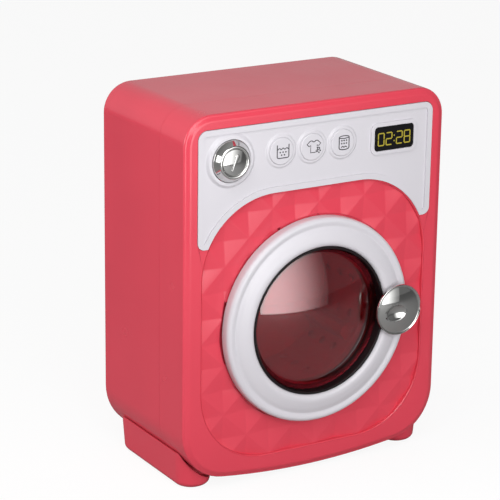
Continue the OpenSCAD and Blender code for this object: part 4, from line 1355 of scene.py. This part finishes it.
@dataclass
class Icon:
    """A thin printed line drawing on a button.

    Attributes:
        glyph: which picture.
        centre: x and height of its middle in millimetres.
        proud: distance of the cap's face in front of the middle.
        line: half width of the printed line.
        dot: radius of a dot, as a share of it.
        relief: height of the print over the cap, as a share of the half width.
        shift: how far the print sits to the right of the cap's middle.
        squeeze: share of the drawn height that is printed.
    """

    glyph: Glyph
    centre: Pair
    proud: float
    line: float = 0.27
    dot: float = 1.6
    relief: float = 0.2
    shift: float = 0.6
    squeeze: float = 0.9

    def build(self, finishes: Finishes, body: str) -> None:
        """Draws the picture and dresses it.

        Args:
            finishes: the set of finishes.
            body: the button's body.
        """
        strokes, dots = {Glyph.TUB: self._tub, Glyph.SHIRT: self._shirt,
                         Glyph.DRUM: self._drum}[self.glyph]()
        pieces = [self._stroke(points, closed) for points, closed in strokes]
        pieces += [self._stroke([at], False) for at in dots]
        icon = joined(pieces, f"{self.glyph.value}_icon_print")
        select_points(icon, lambda at: True)
        bpy.ops.transform.resize(value=(1, self.relief, self.squeeze),
                                 center_override=front_point(*self.centre, self.proud))
        bpy.ops.transform.translate(value=(self.shift * MM, 0, 0))
        close_mesh()
        bpy.ops.object.shade_smooth_by_angle(angle=math.radians(50))
        finish_piece(icon, finishes.icon_ink, body, "black_plastic")

    def _stroke(self, points: Sequence[Pair], closed: bool) -> bpy.types.Object:
        """Makes one line of the print, or a dot where it has a single point.

        Args:
            points: x and height of each point from the icon's middle, in millimetres.
            closed: joins the last point to the first.

        Returns:
            The line as a mesh.
        """
        clear_selection()
        places = [front_point(self.centre[0] + across, self.centre[1] + up, self.proud)
                  for across, up in points]
        if len(places) == 1:
            bpy.ops.mesh.primitive_uv_sphere_add(segments=10, ring_count=6, location=places[0],
                                                 radius=self.dot * self.line * MM)
            return settle("printed_dot")
        curve = bpy.data.curves.new("printed_line", "CURVE")
        curve.dimensions = "3D"
        curve.bevel_depth = self.line * MM
        curve.bevel_resolution = 1
        curve.use_fill_caps = True
        spline = curve.splines.new("POLY")
        spline.points.add(len(points) - 1)
        for point, at in zip(spline.points, places):
            point.co = (*at, 1)
        spline.use_cyclic_u = closed
        line = bpy.data.objects.new("printed_line", curve)
        bpy.context.scene.collection.objects.link(line)
        select_only(line)
        bpy.ops.object.convert(target="MESH")
        return bpy.context.active_object

    @staticmethod
    def _wave(left: float, right: float, height: float, rise: float,
              crests: int) -> list[Pair]:
        """Points of a wavy line.

        Args:
            left: where it starts.
            right: where it ends.
            height: its mean height.
            rise: height of a crest over the mean.
            crests: number of waves.

        Returns:
            The points.
        """
        count = 6 * crests
        return [(left + (right - left) * k / count,
                 height + rise * math.cos(2 * math.pi * crests * k / count))
                for k in range(count + 1)]

    def _tub(self) -> Drawing:
        """Open wash tub with water and bubbles.

        Returns:
            The lines and the dots.
        """
        wall = [(-3.1, 3.4), (-3.1, -2.7), (-2.8, -3.3), (-2.2, -3.5), (2.2, -3.5),
                (2.8, -3.3), (3.1, -2.7), (3.1, 3.4)]
        water = self._wave(-2.9, 2.9, 1.3, -0.35, 3)
        dots = [(-1.5, -0.5), (0.0, -0.5), (1.5, -0.5), (-0.75, -1.9), (0.75, -1.9)]
        return [(wall, False), (water, False)], dots

    def _shirt(self) -> Drawing:
        """Short-sleeved shirt with bubbles at its hem.

        Returns:
            The lines and the dots.
        """
        outline = [(1.0, -2.9), (-1.7, -2.9), (-1.7, 0.9), (-2.6, 0.4), (-3.7, 1.6),
                   (-2.0, 3.2), (-1.0, 3.3), (-0.6, 2.8), (0.0, 2.6), (0.6, 2.8), (1.0, 3.3),
                   (2.0, 3.2), (3.7, 1.6), (2.6, 0.4), (1.8, 0.9), (1.8, 0.2)]
        ring = arc((0, 0), (0.62, 0.62), 0, 315, 45)
        bubbles = [([(x + 2.6, z - 1.1) for x, z in ring], True),
                   ([(x * 0.8 + 1.7, z * 0.8 - 2.3) for x, z in ring], True)]
        return [(outline, False)] + bubbles, [(3.5, -2.3), (2.8, -3.2), (1.9, -0.6)]

    def _drum(self) -> Drawing:
        """Standing drum with holes and water.

        Returns:
            The lines and the dots.
        """
        lid = arc((0, 2.9), (2.7, 0.7), 0, 336, 24)
        wall = [(-2.7, 2.9), (-2.7, -2.8), (-2.3, -3.3), (-1.2, -3.6), (0.0, -3.7),
                (1.2, -3.6), (2.3, -3.3), (2.7, -2.8), (2.7, 2.9)]
        water = self._wave(-1.6, 1.6, -2.2, -0.25, 2)
        dots = [(x, z) for z in (1.1, -0.4) for x in (-1.3, 0.0, 1.3)]
        return [(lid, True), (wall, False), (water, False)], dots


@dataclass
class ControlPanel:
    """White panel with a raised rim, its three buttons, the dial and the clock display.

    Attributes:
        half_width: half of the panel's width.
        heights: lower and upper end of the panel.
        corner_radii: radii of its lower and upper corners.
        floor: distance of its back in front of the middle.
        face: distance of its face.
        rim: width and rise of its rim.
        gap: distance from the quilted field's edge.
        edge: width of the rounded edges.
        quilting: the quilted field that it follows.
        dial_ring: radius of the dial's hole, width and rise of the ring round it.
        button_ring: radius of a button's hole, width and rise of the ring round it.
        button_x: x of each button.
        button_height: height of the buttons over the floor.
        cap: radius of a cap, and its face in front of the middle.
        flange: radius of a cap's flange, and where it starts and ends.
        display: x and height of the clock display.
        display_hole: width, height and corner radius of its hole.
        display_frame: width and rise of the frame round it.
        window_depth: back and front of the dark window.
        window_gap: space between the window and its hole.
        window_edge: width of the window's rounded edge.
        frame_edge: width of the frame's rounded edge.
        cap_roll: radius of a cap's rounded edge.
        slope: share of a ring's width that is its soft slope.
        slope_steps: faces across the slope.
        reach: how far a cutting tool stands out of the face.
        sink: how far one reaches behind what it cuts.
    """

    half_width: float = 63.3
    heights: Pair = (118.2, 173.2)
    corner_radii: Pair = (3.6, 4.5)
    floor: float = 37.3
    face: float = 39.3
    rim: Pair = (2.7, 0.75)
    gap: float = 0.35
    edge: float = 0.36
    quilting: QuiltedField = field(default_factory=QuiltedField)
    dial_ring: Triple = (10.05, 2.9, 1.2)
    button_ring: Triple = (6.45, 1.9, 0.65)
    button_x: Triple = (-20.0, -3.5, 13.0)
    button_height: float = 159.2
    cap: Pair = (6.38, 40.35)
    flange: Triple = (7.4, 33.65, 35.25)
    display: Pair = (41.8, 158.25)
    display_hole: Triple = (22.2, 11.7, 1.9)
    display_frame: Pair = (1.85, 0.85)
    window_depth: Pair = (38.15, 39.85)
    window_gap: float = 0.1
    window_edge: float = 0.15
    frame_edge: float = 0.45
    cap_roll: float = 0.55
    slope: float = 0.62
    slope_steps: int = 7
    reach: float = 3.0
    sink: float = 1.0

    def build(self, finishes: Finishes) -> None:
        """Builds and dresses the pieces.

        Args:
            finishes: the set of finishes.
        """
        dial = Dial()
        self._panel(dial, finishes)
        for node, across, glyph in zip(("button_tub", "button_shirt", "button_drum"),
                                       self.button_x, Glyph):
            body = body_of_node(node)
            finish_piece(self._cap(node, across), finishes.white, body, "white_plastic", node)
            Icon(glyph, (across, self.button_height), self.cap[1]).build(finishes, body)
        dial.build(finishes)
        hole_w, hole_h, corner = self.display_hole
        gap = self.window_gap
        window = rounded_slab("display_window_skin", self.display,
                              (hole_w - 2 * gap, hole_h - 2 * gap),
                              self.window_depth, corner - gap, corner - gap)
        round_edges(window, self.window_edge, lambda at: at.z > self.face,
                    least_angle=50.0, segments=3, harden=False)
        smooth_faces(window, angle=40.0, weighted=True)
        finish_piece(window, finishes.black_gloss, body_of_node("display_window"),
                     "black_gloss", "display_window")
        ClockDigits().build(finishes)

    def _panel(self, dial: "Dial", finishes: Finishes) -> None:
        """Shapes the panel: a slab with a recess, soft rings and holes.

        Args:
            dial: the dial that one ring goes round.
            finishes: the set of finishes.
        """
        width, rise = self.rim
        middle = (0, sum(self.heights) / 2)
        size = (2 * self.half_width, self.heights[1] - self.heights[0])
        panel = rounded_slab("control_panel_skin", middle, size, (self.floor, self.face + rise),
                             *self.corner_radii)
        cut(panel, self.quilting.outline(self.gap), "DIFFERENCE")
        recess = rounded_slab("panel_recess", middle, (size[0] - 2 * width, size[1] - 2 * width),
                              (self.face, self.face + self.reach),
                              *(r - width for r in self.corner_radii))
        cut(recess, self.quilting.outline(self.gap + width), "DIFFERENCE")
        cut(panel, recess, "DIFFERENCE")
        buttons = [(x, self.button_height) for x in self.button_x]
        for at, ring in ((dial.centre, self.dial_ring), *((b, self.button_ring) for b in buttons)):
            cut(panel, self._mound(at, ring), "UNION")
            cut(panel, self._plug(at, ring[0]), "DIFFERENCE")
        hole_w, hole_h, corner = self.display_hole
        frame_w, frame_rise = self.display_frame
        block = rounded_slab("display_frame", self.display,
                             (hole_w + 2 * frame_w, hole_h + 2 * frame_w),
                             (self.face - self.sink, self.face + frame_rise),
                             corner + frame_w, corner + frame_w)
        round_edges(block, self.frame_edge, lambda at: at.z > self.face,
                    least_angle=50.0, segments=4, harden=False)
        cut(panel, block, "UNION")
        hole = rounded_slab("display_hole", self.display, (hole_w, hole_h),
                            (self.floor - self.sink, self.face + self.reach), corner, corner)
        cut(panel, hole, "DIFFERENCE")
        round_edges(panel, self.edge, lambda at: at.z > self.face - TOUCH / 2,
                    least_angle=36.0, segments=4, harden=False)
        smooth_faces(panel, angle=36.0, weighted=True)
        finish_piece(panel, finishes.white, body_of_node("control_panel"), "white_plastic",
                     "control_panel")

    def _mound(self, at: Pair,
               ring: Triple) -> bpy.types.Object:
        """Shapes a raised ring without its hole: a soft slope up to a flat top.

        Args:
            at: x and height of its middle.
            ring: radius of the hole, width and rise of the ring.

        Returns:
            The closed mound.
        """
        hole_r, width, rise = ring
        rings = [(hole_r + width, self.face - self.sink)]
        for k in range(self.slope_steps + 1):
            share = k / self.slope_steps
            rings.append((hole_r + width - self.slope * width * share,
                          self.face + rise * share * share * (3 - 2 * share)))
        return turned_piece("ring_mound", at, rings)

    def _plug(self, at: Pair, radius: float) -> bpy.types.Object:
        """Shapes a plain plug, as a tool to cut a round hole with.

        Args:
            at: x and height of its middle.
            radius: radius of the hole.

        Returns:
            The plug.
        """
        ends = (self.floor - self.sink, self.face + self.reach)
        return turned_piece("hole_plug", at, [(radius, end) for end in ends])

    def _cap(self, node: str, across: float) -> bpy.types.Object:
        """Shapes a button's cap with its flange.

        Args:
            node: the button's node.
            across: x of its axis.

        Returns:
            The cap.
        """
        radius, face = self.cap
        flange_r, flange_back, flange_front = self.flange
        roll = self.cap_roll
        rings = [(flange_r, flange_back), (flange_r, flange_front), (radius, flange_front)]
        rings += arc((radius - roll, face - roll), (roll, roll), 0, 90, 18)
        cap = turned_piece(node + "_skin", (across, self.button_height), rings)
        smooth_faces(cap, angle=40.0, weighted=True)
        return cap


@dataclass
class Dial:
    """Chromed program dial: skirt, cone, rolled rim and a domed face with a pointer.

    Attributes:
        centre: x and height of its axis.
        shaft: radius of its shaft, and where the shaft's tip is.
        base: distance of its back in front of the middle.
        skirt: radius of its skirt, and where that ends.
        cone: radius at the foot of the cone, and where that is.
        rim: radius, half width, rise and crest of the rolled rim.
        dome: radius of the domed face, where its edge is, and its rise.
        dome_steps: rings of the dome.
        pointer: half width of the wide and of the narrow end.
        pointer_ends: distance of the middle of each end from the axis.
        pointer_rise: where the pointer ends in front of the middle.
        pointer_angle: degrees that it is turned from level.
        pointer_taper: share of its width that is left at its top.
        pointer_sink: how far its foot reaches into the dome.
        pointer_edge: width of its rounded edge.
    """

    centre: Pair = (-46.5, 158.0)
    shaft: Pair = (3.0, 29.5)
    base: float = 38.4
    skirt: Pair = (9.75, 40.7)
    cone: Pair = (9.5, 41.2)
    rim: Quad = (7.0, 0.85, 0.6, 43.9)
    dome: Triple = (5.9, 43.6, 0.4)
    dome_steps: int = 10
    pointer: Pair = (1.15, 0.4)
    pointer_ends: Pair = (-3.3, 4.3)
    pointer_rise: float = 44.3
    pointer_angle: float = 248.0
    pointer_taper: float = 0.86
    pointer_sink: float = 0.4
    pointer_edge: float = 0.15

    def build(self, finishes: Finishes) -> None:
        """Builds and dresses the dial.

        Args:
            finishes: the set of finishes.
        """
        rim_r, rim_half, rim_rise, crest = self.rim
        dome_r, dome_edge, dome_rise = self.dome
        rings = [(self.shaft[0], self.shaft[1]), (self.shaft[0], self.base),
                 (self.skirt[0], self.base), self.skirt, self.cone]
        rings += arc((rim_r, crest - rim_rise), (rim_half, rim_rise), 0, 180, 20)
        shares = [1 - k / self.dome_steps for k in range(self.dome_steps)]
        rings += [(dome_r * share, dome_edge + dome_rise * (1 - share ** 2)) for share in shares]
        dial = turned_piece("dial_knob_skin", self.centre, rings)
        cut(dial, self._pointer(), "UNION")
        smooth_faces(dial, angle=42.0)
        finish_piece(dial, finishes.chrome, body_of_node("dial_knob"), "chromed_plastic",
                     "dial_knob")

    def _pointer(self) -> bpy.types.Object:
        """Shapes the drop-shaped ridge on the dial's face.

        Returns:
            The closed ridge.
        """
        wide, narrow = self.pointer
        back, front = self.pointer_ends
        foot = self.dome[1] - self.pointer_sink
        x, height = self.centre
        wide_middle = front_point(x + back, height, foot)
        clear_selection()
        bpy.ops.mesh.primitive_circle_add(vertices=40, radius=wide * MM, fill_type="NGON",
                                          location=wide_middle, rotation=UPRIGHT)
        ridge = settle("dial_pointer")
        select_points(ridge, lambda at: at.x > x + back + TOUCH / 2)
        bpy.ops.transform.resize(value=(narrow / wide,) * 3, center_override=wide_middle)
        bpy.ops.transform.translate(value=((front - back) * MM, 0, 0))
        bpy.ops.mesh.select_all(action="SELECT")
        axis = front_point(x, height, foot)
        bpy.ops.transform.rotate(value=math.radians(self.pointer_angle), orient_axis="Y",
                                 center_override=axis)
        push(self.pointer_rise - foot)
        bpy.ops.transform.resize(value=(self.pointer_taper, 1, self.pointer_taper),
                                 center_override=axis)
        close_mesh()
        round_edges(ridge, self.pointer_edge, lambda at: at.z > self.pointer_rise - TOUCH,
                    least_angle=50.0, segments=4, harden=False)
        return ridge


@dataclass
class ClockDigits:
    """Four lit digits and a colon behind the display's window.

    Attributes:
        centre: x and height of the colon.
        proud: distance of the window's face in front of the middle.
        digit: width and height of a digit.
        bar: width of a lit bar.
        pitch: distance between the two digits of a pair.
        offset: distance from the colon to the nearest digit's middle.
        gap: length that a bar leaves free between its neighbours.
        thickness: thickness of a bar.
        colon: height of a colon's bar over the middle, and its length.
        shown: lit bars of each digit, top to bottom as on any clock display.
    """

    centre: Pair = (41.9, 157.9)
    proud: float = 39.85
    digit: Pair = (3.2, 5.8)
    bar: float = 0.55
    pitch: float = 4.4
    offset: float = 2.9
    gap: float = 0.12
    thickness: float = 0.08
    colon: Pair = (1.3, 0.75)
    shown: tuple[str, ...] = ("abcdef", "abged", "abged", "abcdefg")

    def build(self, finishes: Finishes) -> None:
        """Builds and dresses the digits.

        Args:
            finishes: the set of finishes.
        """
        width, height = self.digit
        places = {"a": (0, height / 2, True), "g": (0, 0, True), "d": (0, -height / 2, True),
                  "b": (width / 2, height / 4, False), "c": (width / 2, -height / 4, False),
                  "f": (-width / 2, height / 4, False), "e": (-width / 2, -height / 4, False)}
        upright = self._bar(height / 2 - self.gap)
        level = self._bar(width - self.gap)
        self._lay_down(level)
        steps = (-self.offset - self.pitch, -self.offset, self.offset, self.offset + self.pitch)
        bars = []
        for step, lit in zip(steps, self.shown):
            for name in lit:
                across, up, is_level = places[name]
                bars.append(self._copy_to(level if is_level else upright, step + across, up))
        colon_up, colon_length = self.colon
        for up in (-colon_up, colon_up):
            bars.append(self._copy_to(self._bar(colon_length), 0, up))
        for spare in [o for o in bpy.data.objects if o.name.startswith("spare_bar")]:
            bpy.data.objects.remove(spare, do_unlink=True)
        digits = joined(bars, "clock_digits")
        finish_piece(digits, finishes.lit_digit, body_of_node("display_window"), "black_gloss")

    def _bar(self, length: float) -> bpy.types.Object:
        """Makes one upright bar with pointed ends, at the colon.

        Args:
            length: its length in millimetres.

        Returns:
            The bar.
        """
        clear_selection()
        radius = self.bar / HEXAGON_WIDTH
        bpy.ops.mesh.primitive_cylinder_add(vertices=6, radius=radius * MM,
                                            depth=self.thickness * MM, rotation=UPRIGHT,
                                            location=front_point(*self.centre, self.proud))
        bar = settle("spare_bar")
        stretch = max(0.0, length / 2 - radius)
        for sign in (-1, 1):
            select_points(bar, lambda at: sign * (at.y - self.centre[1]) > TOUCH / 10)
            bpy.ops.transform.translate(value=(0, 0, sign * stretch * MM))
            bpy.ops.object.mode_set(mode="OBJECT")
        return bar

    def _lay_down(self, bar: bpy.types.Object) -> None:
        """Turns an upright bar level.

        Args:
            bar: the bar at the colon.
        """
        select_points(bar, lambda at: True)
        bpy.ops.transform.rotate(value=math.pi / 2, orient_axis="Y",
                                 center_override=front_point(*self.centre, self.proud))
        bpy.ops.object.mode_set(mode="OBJECT")

    def _copy_to(self, bar: bpy.types.Object, across: float, up: float) -> bpy.types.Object:
        """Copies a bar to its place.

        Args:
            bar: the bar at the colon.
            across: distance to the right of the colon.
            up: distance over it.

        Returns:
            The copy, with its place in its mesh.
        """
        copy = bar.copy()
        copy.data = bar.data.copy()
        copy.name = "lit_bar"
        bpy.context.scene.collection.objects.link(copy)
        select_points(copy, lambda at: True)
        bpy.ops.transform.translate(value=(across * MM, 0, up * MM))
        bpy.ops.object.mode_set(mode="OBJECT")
        return copy


@dataclass
class Door:
    """Round door: ring, inner ring, domed lens in a dark ring of painted shade, and the chromed
    handle.

    Attributes:
        edge: width of the handle's rounded edges.
        handle_face: distance of the handle's face in front of the middle.
        handle_at: x and height of its middle.
        handle_disc: radius, rim radius and thickness of its disc.
        handle_neck: radius of its neck, and where that ends in the ring.
        handle_crown: radius of the sphere of its face.
        handle_shoulder: distance from the crown's edge to the disc's.
        handle_steps: rings of the crown.
        handle_tip: radius of its innermost ring.
        handle_chord: distance of its flat side from the middle.
        hollow_at: place of the oval hollow from the middle.
        hollow_r: radius of the hollow's sphere.
        hollow_depth: depth of the hollow.
        hollow_squeeze: height of the hollow as a share of its width.
        lens_r: radius of the lens.
        lens_top: distance of the dome's top in front of the middle.
        dome_r: radius of the dome's sphere.
        lens_t: thickness of the lens.
        lens_steps: rings of each of its faces.
        lens_tip: radius of its outer face's innermost ring, and the inner one's place in steps.
        lens_back: where the flat back of the lens's edge lies.
        seal_r: inner and outer radius of the near-black ring of painted shade round the lens.
        shade_ring_front: where that ring ends.
        shade_ring_gap: distance of its back from the lens's.
        shade_ring_edge: width of its rounded edges.
        shade_ring_reach: how far the tool for its hole stands out at both ends.
    """

    edge: float = 0.35
    handle_face: float = 50.5
    handle_at: Pair = (41.6, DOOR_Z)
    handle_disc: Triple = (12.5, 1.25, 3.0)
    handle_neck: Pair = (4.4, 44.9)
    handle_crown: float = 42.0
    handle_shoulder: float = 0.9
    handle_steps: int = 14
    handle_tip: float = 0.2
    handle_chord: float = 12.0
    hollow_at: Pair = (-2.6, -1.0)
    hollow_r: float = 10.0
    hollow_depth: float = 2.0
    hollow_squeeze: float = 0.72
    lens_r: float = 34.7
    lens_top: float = 48.5
    dome_r: float = 77.2
    lens_t: float = 1.6
    lens_steps: int = 24
    lens_tip: float = 0.3
    lens_back: float = 40.1
    # Near-black ring round the lens: painted shade where the lens meets the door's ring
    seal_r: Pair = (34.75, 36.02)
    shade_ring_front: float = 44.9
    shade_ring_gap: float = 0.05
    shade_ring_edge: float = 0.4
    shade_ring_reach: float = 1.0

    def build(self, finishes: Finishes) -> None:
        """Builds and dresses the pieces.

        Args:
            finishes: the set of finishes.
        """
        # The inner ring is dressed near-black, not in its record's white: painted shade that keeps
        # the lens's edge dark
        for node, finish, slot in (("door_ring", finishes.white, "white_plastic"),
                                   ("door_liner", finishes.black_matte, "black_plastic")):
            piece = merged_copy(node, node + "_skin")
            smooth_faces(piece, angle=42.0)
            finish_piece(piece, finish, body_of_node(node), slot, node)
        body = body_of_node("door_lens")
        finish_piece(self._lens(), finishes.red_clear, body, "red_clear", "door_lens")
        # Near-black ring round the lens: painted shade at the lens's edge, with no solid of the
        # model under it
        finish_piece(self._seal(), finishes.seal_rubber, body, "black_plastic")
        finish_piece(self._handle(), finishes.chrome, body_of_node("door_handle"),
                     "chromed_plastic", "door_handle")

    def _handle(self) -> bpy.types.Object:
        """Shapes the handle: a domed disc on a neck, with a flat side and an oval hollow.

        Returns:
            The closed handle.
        """
        x, height = self.handle_at
        radius, rim, thick = self.handle_disc
        back = self.handle_face - thick
        neck_r, neck_back = self.handle_neck
        flat = radius - rim
        rings = [(neck_r, neck_back), (neck_r, back), (flat, back)]
        rings += arc((flat, back + rim), (rim, rim), -75, 45, 15)
        crown = [(radius - self.handle_shoulder) * (1 - k / self.handle_steps)
                 for k in range(self.handle_steps)]
        rings += [(r, self.handle_face - self.handle_crown
                   + math.sqrt(self.handle_crown ** 2 - r ** 2))
                  for r in [*crown, self.handle_tip]]
        handle = turned_piece("door_handle_skin", self.handle_at, rings)
        beyond = front_point(x + self.handle_chord + radius, height, back)
        cut(handle, cuboid("handle_flat", beyond, (2 * radius,) * 3), "DIFFERENCE")
        clear_selection()
        bpy.ops.mesh.primitive_uv_sphere_add(
            segments=96, ring_count=48, radius=self.hollow_r * MM,
            location=front_point(x + self.hollow_at[0], height + self.hollow_at[1],
                                 self.handle_face + self.hollow_r - self.hollow_depth))
        hollow = settle("handle_hollow", (1, 1, self.hollow_squeeze))
        cut(handle, hollow, "DIFFERENCE")
        round_edges(handle, self.edge, lambda at: at.z > back - 2 * TOUCH,
                    least_angle=24.0, segments=4, harden=False)
        smooth_faces(handle, angle=40.0, weighted=True)
        return handle

    def _lens(self) -> bpy.types.Object:
        """Shapes the lens: a dome of even thickness with a thin flat edge.

        Returns:
            The closed lens.
        """
        middle = self.lens_top - self.dome_r
        inner = self.dome_r - self.lens_t
        inner_r = math.sqrt(inner ** 2 - (self.lens_back - middle) ** 2)
        steps = self.lens_steps
        hollow = [inner_r * max(k, self.lens_tip) / steps for k in range(steps + 1)]
        rings = [(r, middle + math.sqrt(inner ** 2 - r ** 2)) for r in hollow]
        rings.append((self.lens_r, self.lens_back))
        crown = [self.lens_r * (1 - k / steps) for k in range(steps)] + [self.lens_tip]
        rings += [(r, middle + math.sqrt(self.dome_r ** 2 - r ** 2)) for r in crown]
        lens = turned_piece("door_lens_skin", (0, DOOR_Z), rings, DOOR_STEPS)
        smooth_faces(lens, angle=30.0)
        return lens

    def _seal(self) -> bpy.types.Object:
        """Shapes the near-black ring of painted shade that stands round the lens, inside the
        ring's lip.

        Returns:
            The dark ring.
        """
        inner, outer = self.seal_r
        # Painted shade: a near-black ring that darkens the lens's edge
        seal = turned_piece("door_lens_seal", (0, DOOR_Z),
                            ((outer, self.lens_back + self.shade_ring_gap), (outer, self.shade_ring_front)),
                            DOOR_STEPS)
        hole = turned_piece("seal_hole", (0, DOOR_Z),
                            ((inner, self.lens_back - self.shade_ring_reach),
                             (inner, self.shade_ring_front + self.shade_ring_reach)), DOOR_STEPS)
        cut(seal, hole, "DIFFERENCE")
        round_edges(seal, self.shade_ring_edge, lambda at: at.z > self.shade_ring_front - TOUCH,
                    least_angle=50.0, segments=4, harden=False)
        smooth_faces(seal, angle=40.0)
        return seal


def main() -> None:
    """Builds the looks, in the order of the toy's assembly."""
    logging.basicConfig(level=logging.INFO, format="%(message)s")
    finishes = Finishes.build()
    dress_cad_nodes(finishes)
    Casing().build(finishes)
    QuiltedField().build(finishes)
    ControlPanel().build(finishes)
    Door().build(finishes)
    Studio().build()


if __name__ == "__main__":
    main()
